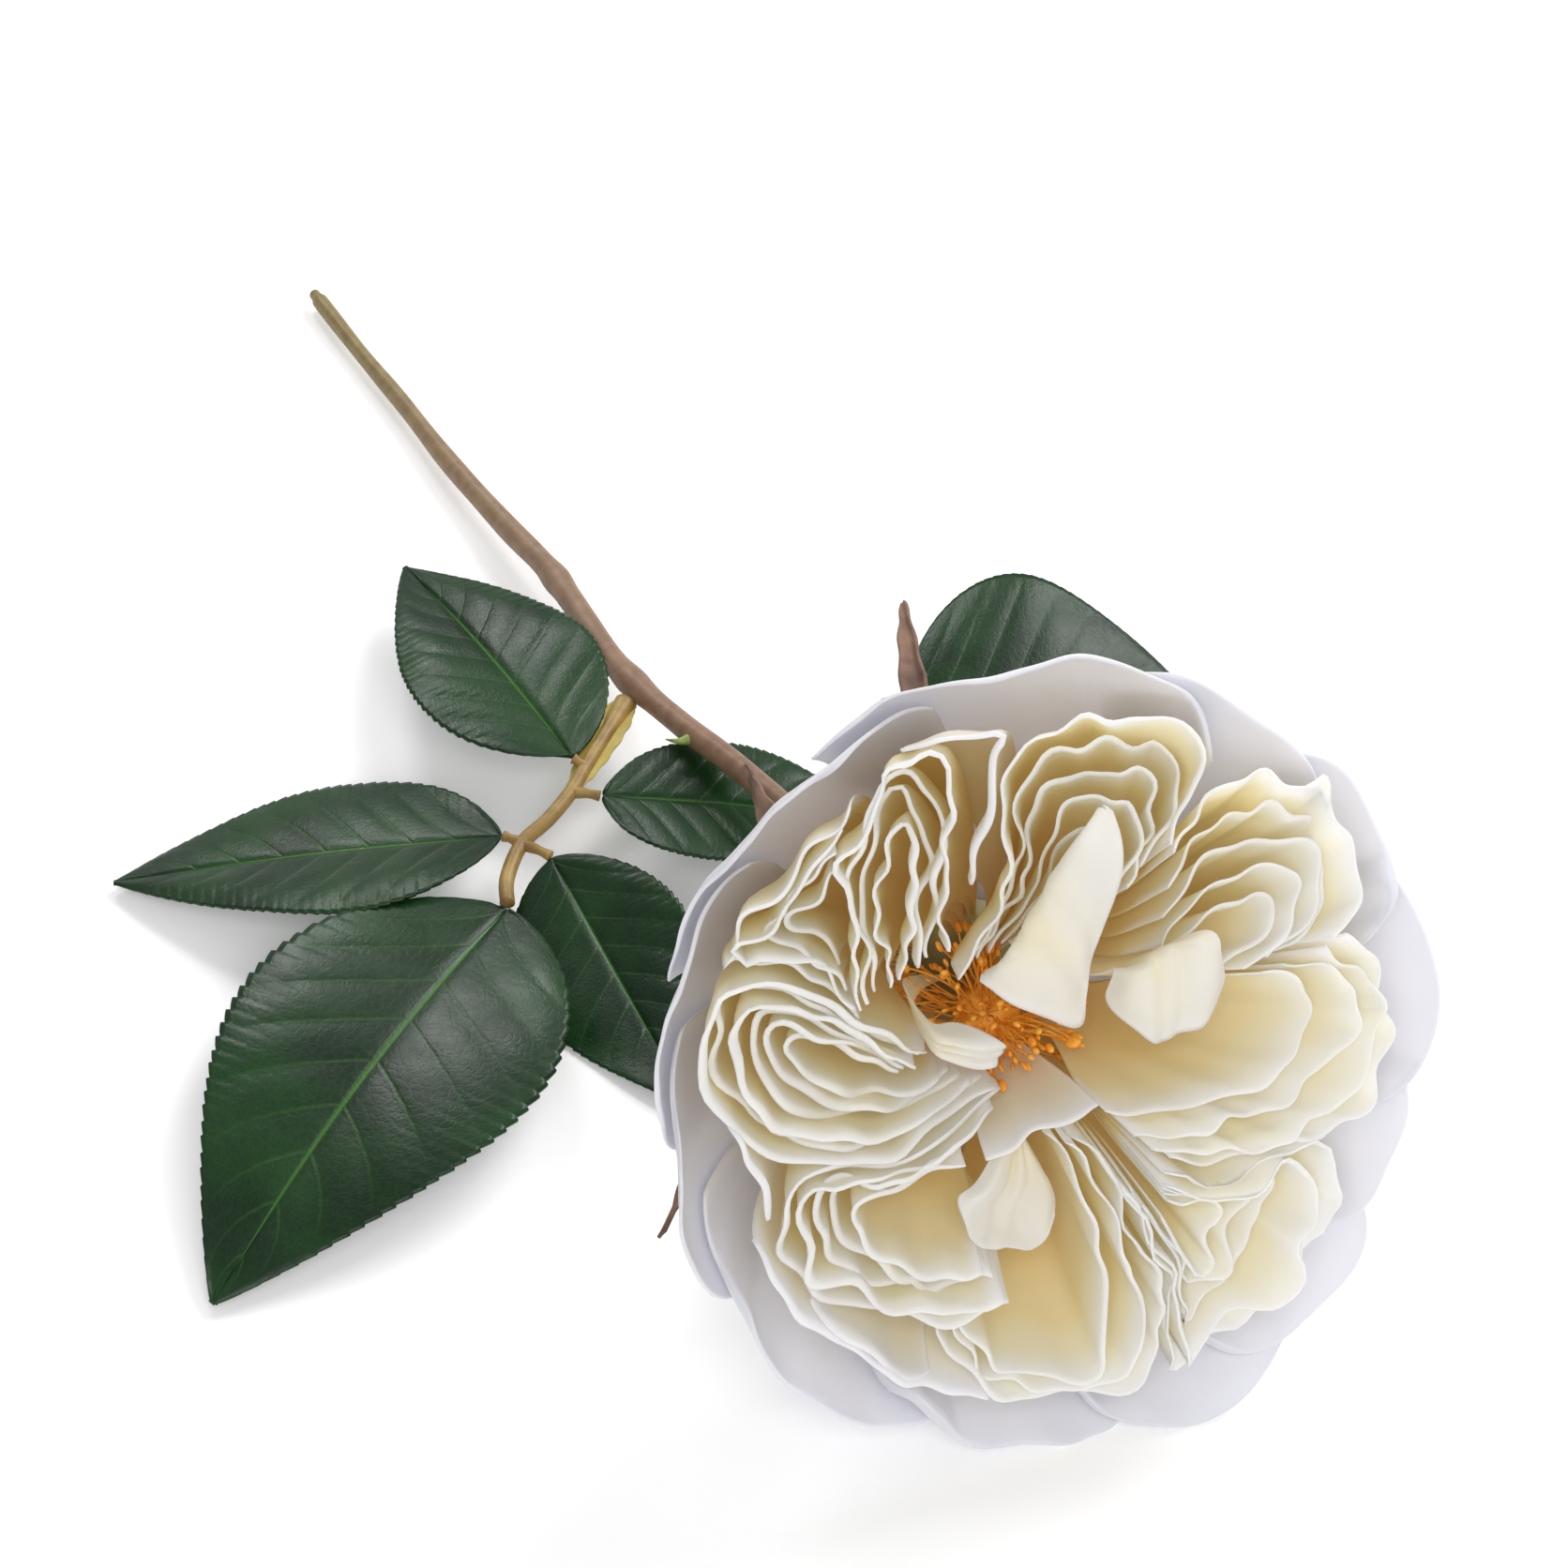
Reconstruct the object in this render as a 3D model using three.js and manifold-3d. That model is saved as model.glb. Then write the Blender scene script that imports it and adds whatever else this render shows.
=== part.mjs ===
// Cut rose lying on a table: a very full, quartered, cream-white bloom on a leafy stem.
// Millimetres, +Z up. Everything is laid out with the bloom over (0, 0) and turned at the
// end so that the stem runs along +Y. Every petal hangs like a curtain from a line drawn on
// the face of the bloom, and one map carries that flat plan into the cupped flower, so lines
// that don't cross on the plan give petals that don't touch in space.
import * as THREE from 'three';
import Module from 'manifold-3d';

const wasm = await Module();
wasm.setup();

// ---------------------------------------------------------------- driving dimensions
const FACE_RADIUS = 52.5;        // plan radius that holds all the quartered inner petals
const GUARD_STEP = 2.4;         // from the face to the first guard petal
const GUARD_FLARE = 4.4;        // how far the guard rims turn outwards
const GUARD_DROP = 7;           // how far the guard rims fall back
const GUARD_SAG = 3.2;          // how far they lean across to the lower right
const BLOOM_DEPTH = 44;         // from the petal bases to the face
const DOME = 5;                 // how far the middle of the face stands forward
const FUNNEL = 0.34;            // how much shorter the petals are beside the stamens
const BASE_SCALE = 0.12;        // size of the plan where the petals are fixed
const PETAL_START = 0.08;       // where each petal begins, as a share of its height
const PETAL_BASE = 0.28;        // petal thickness at the base
const PETAL_RIM = 0.46;         // petal thickness at the rim
const HIP_RADIUS = 6.2;
const HIP_LENGTH = 14;
const STEM_RADIUS = 2.0;
const STEM_TIP_RADIUS = 1.35;
const SEPAL_WIDTH = 6.8;
const LEAF_THICKNESS = 0.7;
const LEAFLET_SCALE = 1;        // scales the length and width of every leaflet
const STALK_RADIUS = 1.15;
const GAP = 0.35;               // left between pieces that touch
const TWIST = 0.5;              // how far the upper folds lean over, in radians
const STEM_HEADING = 28.7;      // how far the lay-out is turned to bring the stem to +Y

// ---------------------------------------------------------------- materials
const paint = (name, color, roughness) => {
  const material = new THREE.MeshStandardMaterial({ color, roughness, side: THREE.DoubleSide });
  material.name = name;
  return material;
};
const PETAL = paint('petal', 0xf2ecd8, 0.85);
const GUARD = paint('guard_petal', 0xe9e6e6, 0.85);
const STAMEN = paint('stamen', 0xd07a10, 0.7);
const LEAF = paint('leaf', 0x1f4a1c, 0.4);
const STALK = paint('stalk', 0x8a6a2a, 0.55);
const STEM = paint('stem', 0x7a624a, 0.6);
const SEPAL = paint('sepal', 0x5e3b2a, 0.7);

// ---------------------------------------------------------------- small helpers
const V = (x, y, z) => new THREE.Vector3(x, y, z);
const rad = THREE.MathUtils.degToRad;
const clamp = (x, low, high) => Math.min(high, Math.max(low, x));
const smooth = (x) => {
  const t = clamp(x, 0, 1);
  return t * t * (3 - 2 * t);
};

// Turns a list of points and triangles into a closed mesh whose faces look outwards.
function closedMesh(name, points, triangles, material) {
  let volume = 0;
  for (const [a, b, c] of triangles) {
    volume += points[a].dot(points[b].clone().cross(points[c]));
  }
  const index = triangles.flatMap(([a, b, c]) => (volume > 0 ? [a, b, c] : [a, c, b]));
  const geometry = new THREE.BufferGeometry();
  geometry.setAttribute(
    'position',
    new THREE.Float32BufferAttribute(points.flatMap((p) => [p.x, p.y, p.z]), 3),
  );
  geometry.setIndex(index);
  geometry.computeVertexNormals();
  const mesh = new THREE.Mesh(geometry, material);
  mesh.name = name;
  return mesh;
}

// Gives a grid of points a thickness: rows run along the sheet, columns across it.
function sheet(name, rows, thickness, material) {
  const last = rows.length - 1;
  const wide = rows[0].length;
  const points = [];
  const half = last * wide + wide;
  for (const side of [0.5, -0.5]) {
    rows.forEach((row, i) => {
      row.forEach((p, j) => {
        const along = rows[Math.min(i + 1, last)][j].clone().sub(rows[Math.max(i - 1, 0)][j]);
        const across = row[Math.min(j + 1, wide - 1)].clone().sub(row[Math.max(j - 1, 0)]);
        const normal = along.cross(across).normalize();
        points.push(p.clone().addScaledVector(normal, side * thickness(i / last, j / (wide - 1))));
      });
    });
  }
  const triangles = [];
  const quad = (a, b, c, d) => triangles.push([a, b, c], [a, c, d]);
  for (let i = 0; i < last; i += 1) {
    for (let j = 0; j < wide - 1; j += 1) {
      const a = i * wide + j;
      quad(a, a + 1, a + wide + 1, a + wide);
      quad(a + half, a + half + wide, a + half + wide + 1, a + half + 1);
    }
  }
  const edge = [];
  for (let j = 0; j < wide - 1; j += 1) edge.push(j);
  for (let i = 0; i < last; i += 1) edge.push(i * wide + wide - 1);
  for (let j = wide - 1; j > 0; j -= 1) edge.push(last * wide + j);
  for (let i = last; i > 0; i -= 1) edge.push(i * wide);
  edge.forEach((a, i) => {
    const b = edge[(i + 1) % edge.length];
    quad(a, a + half, b + half, b);
  });
  return closedMesh(name, points, triangles, material);
}

// A round rod along a curve with a radius that may change on the way.
function rod(curve, steps, sides, radius) {
  const frames = curve.computeFrenetFrames(steps, false);
  const points = [];
  for (let i = 0; i <= steps; i += 1) {
    const centre = curve.getPointAt(i / steps);
    for (let j = 0; j < sides; j += 1) {
      const angle = (2 * Math.PI * j) / sides;
      const r = radius(i / steps, angle);
      const out = frames.normals[i].clone().multiplyScalar(Math.cos(angle) * r);
      out.addScaledVector(frames.binormals[i], Math.sin(angle) * r);
      points.push(centre.clone().add(out));
    }
  }
  const triangles = [];
  for (let i = 0; i < steps; i += 1) {
    for (let j = 0; j < sides; j += 1) {
      const a = i * sides + j;
      const b = i * sides + ((j + 1) % sides);
      triangles.push([a, b, b + sides], [a, b + sides, a + sides]);
    }
  }
  const start = points.push(curve.getPointAt(0)) - 1;
  const end = points.push(curve.getPointAt(1)) - 1;
  for (let j = 0; j < sides; j += 1) {
    const next = (j + 1) % sides;
    triangles.push([start, next, j]);
    triangles.push([end, steps * sides + j, steps * sides + next]);
  }
  return closedMesh('', points, triangles, STEM);
}

// Joins closed meshes into one body.
function joined(name, meshes, material) {
  const bodies = meshes.map((mesh) => {
    const mesh3 = new wasm.Mesh({
      numProp: 3,
      vertProperties: new Float32Array(mesh.geometry.attributes.position.array),
      triVerts: new Uint32Array(mesh.geometry.index.array),
    });
    return new wasm.Manifold(mesh3);
  });
  const out = bodies.reduce((a, b) => a.add(b)).getMesh();
  const points = [];
  for (let i = 0; i < out.vertProperties.length; i += out.numProp) {
    points.push(V(out.vertProperties[i], out.vertProperties[i + 1], out.vertProperties[i + 2]));
  }
  const triangles = [];
  for (let i = 0; i < out.triVerts.length; i += 3) {
    triangles.push([out.triVerts[i], out.triVerts[i + 1], out.triVerts[i + 2]]);
  }
  return closedMesh(name, points, triangles, material);
}

const through = (points) => new THREE.CatmullRomCurve3(points, false, 'centripetal');

// ---------------------------------------------------------------- the bloom's own frame
const AXIS = V(0.265, -0.843, 0.468).normalize();             // out of the face
const ACROSS = V(1, 0, 0).addScaledVector(AXIS, -AXIS.x).normalize();
const UPWARD = AXIS.clone().cross(ACROSS);
const GUARD_RADIUS = FACE_RADIUS + GUARD_STEP;
const RIM_RADIUS = GUARD_RADIUS + GUARD_FLARE;
const CENTRE = V(4.0, -7.1, RIM_RADIUS * UPWARD.z + 5.8);        // middle of the face

const bloom = (x, y, depth) => CENTRE.clone()
  .addScaledVector(ACROSS, x)
  .addScaledVector(UPWARD, y)
  .addScaledVector(AXIS, depth);

// Carries a point of the plan up to the share t of the petals' height.
function lifted(x, y, t) {
  const rho = Math.hypot(x, y);
  const bearing = Math.atan2(y, x);
  const off = Math.atan2(Math.sin(bearing - 1.6), Math.cos(bearing - 1.6));
  const phi = bearing - TWIST * (1 - t) * Math.exp(-((off / 0.9) ** 2));
  const guard = smooth((rho - FACE_RADIUS - 0.4) / 1.3);
  const open = 0.62 * ((1 + Math.cos(phi + rad(22))) / 2) ** 1.3 * (1 - 0.55 * guard);
  const quarter = (Math.PI * t) / 2;
  const spread = (1 - open) * Math.sin(quarter) + open * t ** 1.5;
  const scale = BASE_SCALE + (1 - BASE_SCALE) * spread;
  const outer = clamp((rho / RIM_RADIUS) ** 2, 0, 1);
  const upright = (1 - outer) * t + outer * (1 - Math.cos(quarter));
  const rise = (1 - open) * upright + open * Math.sin(quarter);
  const turn = clamp((t - 0.45) / 0.55, 0, 2) ** 2 * guard;
  const layer = Math.max(0, rho - FACE_RADIUS);
  const r = rho * scale;
  const depth = -BLOOM_DEPTH * (1 - rise) + DOME * t * t * (1 - outer)
    - (GUARD_DROP + 0.9 * layer) * turn;
  const sag = GUARD_SAG * turn;
  const across = (r + (GUARD_FLARE - 2.8) * turn) * Math.cos(phi) + 0.8 * sag;
  return bloom(across, (r + GUARD_FLARE * turn) * Math.sin(phi) - sag, depth);
}

// Resamples a line on the plan so that equal steps are equal lengths.
function evenly(line) {
  const samples = [];
  for (let i = 0; i <= 80; i += 1) samples.push(line(-1 + i / 40));
  const lengths = [0];
  for (let i = 1; i < samples.length; i += 1) {
    const step = Math.hypot(samples[i][0] - samples[i - 1][0], samples[i][1] - samples[i - 1][1]);
    lengths.push(lengths[i - 1] + step);
  }
  const total = lengths[lengths.length - 1];
  return (s) => {
    const want = clamp((s + 1) / 2, 0, 1) * total;
    let i = 1;
    while (i < samples.length - 1 && lengths[i] < want) i += 1;
    const part = (want - lengths[i - 1]) / (lengths[i] - lengths[i - 1]);
    return [0, 1].map((k) => samples[i - 1][k] + part * (samples[i][k] - samples[i - 1][k]));
  };
}

// Hangs a petal from a line on the plan. top(s, x, y) is the height of its rim.
function petal(name, line, top, narrow, material, across = 8, up = 4) {
  const even = evenly(line);
  const rows = [];
  for (let i = 0; i <= across; i += 1) {
    const s = -1 + (2 * i) / across;
    const [ex, ey] = even(s);
    const height = top(s, ex, ey);
    const row = [];
    for (let j = 0; j <= up; j += 1) {
      const t = PETAL_START + (height - PETAL_START) * (j / up);
      const reach = narrow + (1 - narrow) * smooth(t / 0.6);
      row.push(lifted(...even(s * reach), t));
    }
    rows.push(row);
  }
  return sheet(name, rows, (i, j) => PETAL_BASE + (PETAL_RIM - PETAL_BASE) * j, material);
}

// ---------------------------------------------------------------- the quartered face
const EYE = [-0.06 * FACE_RADIUS, 0.02 * FACE_RADIUS];         // the lowest part of the face

// Rims sink towards the stamens.
const faceTop = (x, y) => {
  const d = Math.hypot(x - EYE[0], y - EYE[1]) / FACE_RADIUS;
  return 1 - FUNNEL * Math.exp(-((d / 0.36) ** 2));
};

// The face of the bloom as it is drawn, in hundredths of the face radius: x across, y up.
// A nest is a stack of folded petals, one inside the other. Its outermost and innermost
// rims are drawn, the others lie evenly between them. places says which hold a petal here.
const NESTS = [
  {
    name: 'left', count: 6, places: [0, 2, 4],
    outer: [-14, -11, -36, -16, -59, -20, -81, -12, -95, 1, -97, 18, -94, 30, -75, 28, -58, 18, -34, 4],
    inner: [-30, -6, -42, -7, -54, -4, -64, -1, -71, 4, -74, 8, -72, 11, -66, 10, -55, 5, -43, -1],
  },
  {
    name: 'lower_left', count: 6, places: [0, 2, 4],
    outer: [-12, -14, -28, -20, -43, -24, -59, -24, -71, -25, -76, -32, -76, -43, -69, -53, -54, -63,
      -34, -66, -14, -66],
    inner: [-30, -32, -34, -33, -40, -33, -46, -35, -51, -37, -53, -40, -51, -43, -45, -48, -36, -51,
      -28, -53, -22, -54],
  },
  {
    name: 'lower', count: 3, places: [0, 2],
    outer: [-33, -71, -27, -83, -14, -96, 2, -102, 17, -101, 26, -94, 28, -80, 26, -63, 21, -46, 13,
      -31, 6, -27],
    inner: [-28, -69, -23, -79, -14, -88, -4, -93, 6, -94, 12, -88, 14, -76, 13, -60, 9, -45, 3, -32,
      -1, -28],
  },
  {
    name: 'lower_right', count: 5, places: [0, 2, 4],
    outer: [31, -33, 47, -37, 63, -31, 77, -30, 83, -40, 80, -51, 74, -59, 73, -69, 61, -81, 46, -89,
      36, -99, 33, -85, 31, -65, 25, -47, 16, -32],
    inner: [35, -44, 40, -45, 45, -44, 48, -45, 49, -47, 48, -50, 46, -52, 45, -56, 44, -59, 41, -61,
      40, -62, 39, -59, 37, -55, 35, -51, 33, -47],
  },
  {
    name: 'right', count: 4, places: [0, 1, 3],
    outer: [33, -29, 53, -29, 74, -26, 90, -20, 98, -6, 100, 6, 99, 19, 94, 28, 82, 33],
    inner: [18, -19, 29, -18, 44, -16, 57, -10, 69, -2, 75, 7, 75, 16, 70, 23, 60, 26],
  },
  {
    name: 'upper_right', count: 5, places: [0, 2, 4],
    outer: [28, 59, 38, 74, 51, 81, 65, 82, 77, 74, 84, 61, 85, 49, 82, 40, 73, 34],
    inner: [31, 27, 37, 35, 43, 42, 49, 46, 55, 48, 59, 46, 59, 40, 56, 34, 48, 27],
  },
  {
    name: 'upper', count: 6, places: [0, 2, 4],
    outer: [-28, 24, -22, 42, -18, 61, -18, 80, -12, 93, 2, 98, 19, 98, 31, 102, 36, 92, 33, 77, 25, 62],
    inner: [-11, 31, -8, 39, -4, 48, -1, 55, 2, 60, 4, 63, 6, 61, 7, 56, 6, 50, 4, 44, 2, 37],
  },
  {
    name: 'upper_left', count: 4, places: [0, 2],
    outer: [-56, 23, -57, 35, -59, 49, -62, 60, -56, 70, -54, 81, -55, 89, -45, 88, -36, 84, -32, 73,
      -32, 61, -34, 49, -34, 33],
    inner: [-48, 24, -48, 33, -50, 42, -51, 53, -49, 61, -47, 66, -44, 70, -42, 67, -41, 60, -41, 51,
      -43, 42, -44, 33, -44, 25],
  },
  {
    name: 'far_left', count: 4, places: [0, 2],
    outer: [-59, 75, -68, 65, -78, 55, -86, 44, -94, 36, -87, 36, -76, 34, -66, 30, -55, 18],
    inner: [-64, 59, -67, 55, -70, 51, -73, 47, -73, 44, -71, 42, -68, 40, -65, 37, -61, 31],
  },
];
// Petals that stand alone between the nests.
const SINGLES = [
  { name: 'frayed', line: [-49, 91, -39, 93, -28, 97, -21, 98, -21, 90, -22, 77, -26, 65, -28, 51] },
  { name: 'side', line: [-90, -7, -85, -14, -81, -23, -80, -35] },
  { name: 'strip', line: [-84, -41, -76, -54, -63, -68, -49, -78, -34, -88, -20, -96] },
  { name: 'sill', line: [-20, -29, -13, -26, -7, -23, 2, -21, 11, -17, 15, -16] },
];
// Petals that flop over their neighbours. Each hangs from a line like the others up to the
// last of its heights, then passes through rows of points: across, up and out of the face.
const DRAPED = [
  {
    name: 'flop',
    hang: [-11, 31, -7, 40, -4, 49, 0, 57, 4, 62, 7, 60, 7, 55],
    heights: [0.08, 0.3, 0.52, 0.7, 0.8],
    over: [
      [-22, 24, -5, -19, 31, 0, -15, 40, 4, -11, 48, 6, -7, 58, 8, -1, 67, 9, 8, 73, 8],
      [-23, 21, -6, -16, 26, 0, -10, 33, 5, -4, 42, 8, 1, 52, 10, 6, 61, 11, 14, 69, 10],
      [-23, 20, -7, -13, 18, -3, -5, 21, 0, 1, 28, 3, 5, 40, 8, 11, 53, 10, 19, 62, 9],
      [-23, 18, -8, -12, 12, -8, -1, 8, -7, 10, 6, -7, 9, 24, 0, 13, 42, 6, 22, 56, 7],
    ],
  },
  {
    name: 'tongue',
    hang: [-41, 18, -41, 16, -40, 15, -39, 13, -38, 11],
    heights: [0.08, 0.35, 0.6],
    over: [
      [-33, 13, -9, -34, 12, -8, -34, 10, -8, -34, 8, -8, -33, 6, -9],
      [-27, 12, -8, -28, 10, -6, -28, 7, -5, -28, 4, -6, -28, 2, -7],
      [-20, 11, -8, -20, 9, -5, -21, 6, -4, -20, 2, -5, -20, -2, -8],
      [-14, 9, -10, -14, 7, -7, -14, 5, -6, -14, 1, -7, -14, -2, -10],
      [-11, 6, -13, -11, 5, -11, -11, 3, -10, -11, 1, -11, -11, -1, -13],
    ],
  },
  {
    name: 'spoon',
    hang: [-13, -29, -10, -29, -8, -30, -6, -31, -4, -33],
    heights: [0.08, 0.3, 0.5, 0.66],
    over: [
      [-19, -34, -12, -11, -34, -16, -5, -35, -17, 0, -37, -16, 3, -39, -13],
      [-26, -37, -8, -16, -40, -14, -8, -42, -16, -2, -43, -13, 3, -45, -8],
      [-28, -41, -5, -18, -45, -11, -9, -48, -13, -2, -50, -11, 2, -50, -5],
      [-29, -44, -2, -21, -48, -7, -12, -51, -8, -5, -53, -8, 0, -54, -4],
      [-27, -47, -2, -21, -51, -3, -13, -54, -3, -7, -56, -3, -3, -56, -3],
    ],
  },
  {
    name: 'tip',
    hang: [15, 27, 20, 29, 25, 32, 31, 34, 36, 36],
    heights: [0.08, 0.3, 0.5, 0.7],
    over: [
      [15, 26, -3, 20, 30, 3, 25, 34, 6, 32, 37, 8, 38, 38, 8],
      [15, 21, -4, 19, 26, 2, 26, 29, 6, 35, 30, 8, 43, 29, 6],
      [14, 15, -6, 19, 17, 0, 27, 19, 3, 36, 20, 4, 46, 20, 3],
      [16, 9, -8, 22, 9, -4, 29, 10, 0, 38, 10, 0, 46, 11, -1],
      [19, 3, -9, 25, 1, -7, 32, 0, -6, 40, 1, -6, 45, 5, -6],
    ],
  },
];

// A smooth line through drawn points, as a function of s from -1 to 1. What was drawn
// near or past the face's edge is drawn in, so that it stays within the guard petals.
function drawn(numbers) {
  const points = [];
  for (let i = 0; i < numbers.length; i += 2) {
    const p = V(numbers[i], numbers[i + 1], 0).multiplyScalar(0.01);
    const rho = p.length();
    if (rho > 0.86) p.multiplyScalar((0.86 + 0.14 * Math.tanh((rho - 0.86) / 0.14)) / rho);
    points.push(p.multiplyScalar(FACE_RADIUS));
  }
  const curve = new THREE.CatmullRomCurve3(points, false, 'centripetal');
  return (s) => {
    const p = curve.getPoint((s + 1) / 2);
    return [p.x, p.y];
  };
}
const between = (nest, place) => drawn(
  nest.outer.map((value, i) => THREE.MathUtils.lerp(value, nest.inner[i], place / (nest.count - 1))),
);

const flower = new THREE.Group();
flower.name = 'cut_rose';

for (const nest of NESTS) {
  nest.places.forEach((place) => {
    const dip = nest.name === 'upper' ? 0.04 * place : 0;
    const top = (s, x, y) => faceTop(x, y) - 0.012 * place - dip * smooth((0.1 - s) / 0.5);
    flower.add(petal(`petal_${nest.name}_${place}`, between(nest, place), top, 0.3, PETAL, 12));
  });
}
for (const { name, line } of SINGLES) {
  flower.add(petal(`petal_${name}`, drawn(line), (s, x, y) => faceTop(x, y), 0.3, PETAL));
}

// A petal that hangs from a line and then flops over through rows of points.
function draped(name, hang, heights, over, across = 10, up = 11) {
  const even = evenly(drawn(hang));
  const rows = heights.map((t) => {
    const reach = 0.3 + 0.7 * smooth(t / 0.6);
    return Array.from({ length: across + 1 }, (_, j) => lifted(...even(reach * ((2 * j) / across - 1)), t));
  });
  for (const numbers of over) {
    const points = [];
    for (let i = 0; i < numbers.length; i += 3) {
      points.push(bloom(...numbers.slice(i, i + 3).map((value) => (value * FACE_RADIUS) / 100)));
    }
    const row = through(points);
    rows.push(Array.from({ length: across + 1 }, (_, j) => row.getPointAt(j / across)));
  }
  const columns = rows[0].map((_, j) => through(rows.map((row) => row[j])));
  const grid = columns.map((column) => Array.from({ length: up + 1 }, (_, i) => column.getPointAt(i / up)));
  return sheet(name, grid, (i, j) => PETAL_BASE + (PETAL_RIM - PETAL_BASE) * j, PETAL);
}
for (const { name, hang, heights, over } of DRAPED) {
  flower.add(draped(`petal_${name}`, hang, heights, over));
}

// ---------------------------------------------------------------- guard petals
// Bearing of the middle and half the angle, in degrees. They lap round the bloom like the
// slates of a cone: each starts inside its neighbour and ends outside the next one.
const GUARDS = [
  [97, 33], [140, 27], [170, 23], [195, 22], [229, 29], [266, 27],
  [296, 21], [317, 21], [341, 20], [9, 23], [33, 20], [60, 24],
];
GUARDS.forEach(([bearing, half], i) => {
  const line = (s) => {
    const angle = rad(bearing + half * s);
    const rho = GUARD_RADIUS + 1.5 * s;
    return [rho * Math.cos(angle), rho * Math.sin(angle)];
  };
  const top = (s) => 1 - 0.03 * (i % 3) - 0.2 * Math.abs(s) ** 3;
  flower.add(petal(`guard_petal_${String(i + 1).padStart(2, '0')}`, line, top, 0.4, GUARD));
});

// ---------------------------------------------------------------- stamens
const core = through([
  bloom(0, 0, -BLOOM_DEPTH + 1.6),
  bloom(-1, 0, -0.75 * BLOOM_DEPTH),
  bloom(-2, 0, -0.58 * BLOOM_DEPTH),
]);
const stamens = [rod(core, 4, 8, (u) => (0.034 - 0.012 * smooth(u * 1.2)) * FACE_RADIUS)];
for (let i = 0; i < 14; i += 1) {
  const angle = i * 2.4;
  const lean = 1.2 + 3.5 * Math.sqrt((i + 0.5) / 14);
  const x = Math.cos(angle);
  const y = Math.sin(angle);
  const filament = through([
    bloom(-1.9 + 0.5 * x, 0.5 * y, -0.64 * BLOOM_DEPTH),
    bloom(-2.1 + 0.6 * lean * x, 0.6 * lean * y, -0.54 * BLOOM_DEPTH),
    bloom(-2.3 + lean * x, lean * y, (-0.47 + 0.03 * (i % 3)) * BLOOM_DEPTH),
  ]);
  stamens.push(rod(filament, 3, 5, (u) => (u > 0.8 ? 0.75 : 0.32)));
}
flower.add(joined('stamens', stamens, STAMEN));

// ---------------------------------------------------------------- hip, the green cup below
const hipBase = -BLOOM_DEPTH - HIP_LENGTH;
const hipLine = through([
  bloom(0, 0, -BLOOM_DEPTH + 0.4),
  bloom(0, 0, -BLOOM_DEPTH - 0.5 * HIP_LENGTH),
  bloom(0, 0, hipBase),
]);
const cupRadius = GUARD_RADIUS * 0.25;
const hipRadius = (u) => {
  if (u < 0.1) return cupRadius - 6 * u;
  if (u < 0.35) return THREE.MathUtils.lerp(cupRadius - 0.6, HIP_RADIUS, smooth((u - 0.1) / 0.25));
  return THREE.MathUtils.lerp(HIP_RADIUS, STEM_RADIUS + 0.9, smooth((u - 0.55) / 0.45));
};
const hip = rod(hipLine, 9, 14, hipRadius);
hip.name = 'hip';
hip.material = STALK;
flower.add(hip);

// ---------------------------------------------------------------- stem
const stemCurve = through([
  bloom(0, 0, hipBase - GAP),
  bloom(0, 0, hipBase - 7),
  V(-27, 73, 19.6),
  V(-40.8, 94.6, 15.2),
  V(-50.6, 107.6, 12.6),
  V(-60.2, 121.6, 10.4),
  V(-66.9, 137.0, 7.6),
  V(-73.0, 150.8, 5.6),
  V(-80.8, 163.8, 4.0),
  V(-90.9, 180.8, 2.9),
  V(-99.3, 196.2, 2.3),
  V(-107.4, 210.0, 2.0),
  V(-116.2, 225.6, 1.9),
]);
const stemRadius = (u) => {
  const node = Math.exp(-(((u - 0.4345) / 0.018) ** 2)) + 0.9 * Math.exp(-(((u - 0.585) / 0.014) ** 2));
  const taper = THREE.MathUtils.lerp(STEM_RADIUS, STEM_TIP_RADIUS, smooth((u - 0.6) / 0.35));
  const round = u > 0.985 ? 0.72 : 1;
  return (taper + 0.45 * node) * round;
};
const NODE_AT = 0.4345;
const nodePoint = stemCurve.getPointAt(NODE_AT);
const thornAt = stemCurve.getPointAt(0.351);
const thorn = rod(through([
  thornAt.clone().add(V(-0.6, -0.6, 0.2)),
  thornAt.clone().add(V(-2.8, -1.6, 0.5)),
  thornAt.clone().add(V(-4.9, -1.2, 0.5)),
]), 4, 6, (u) => 1.25 - 1.1 * u);
flower.add(joined('stem', [rod(stemCurve, 44, 10, stemRadius), thorn], STEM));

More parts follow.
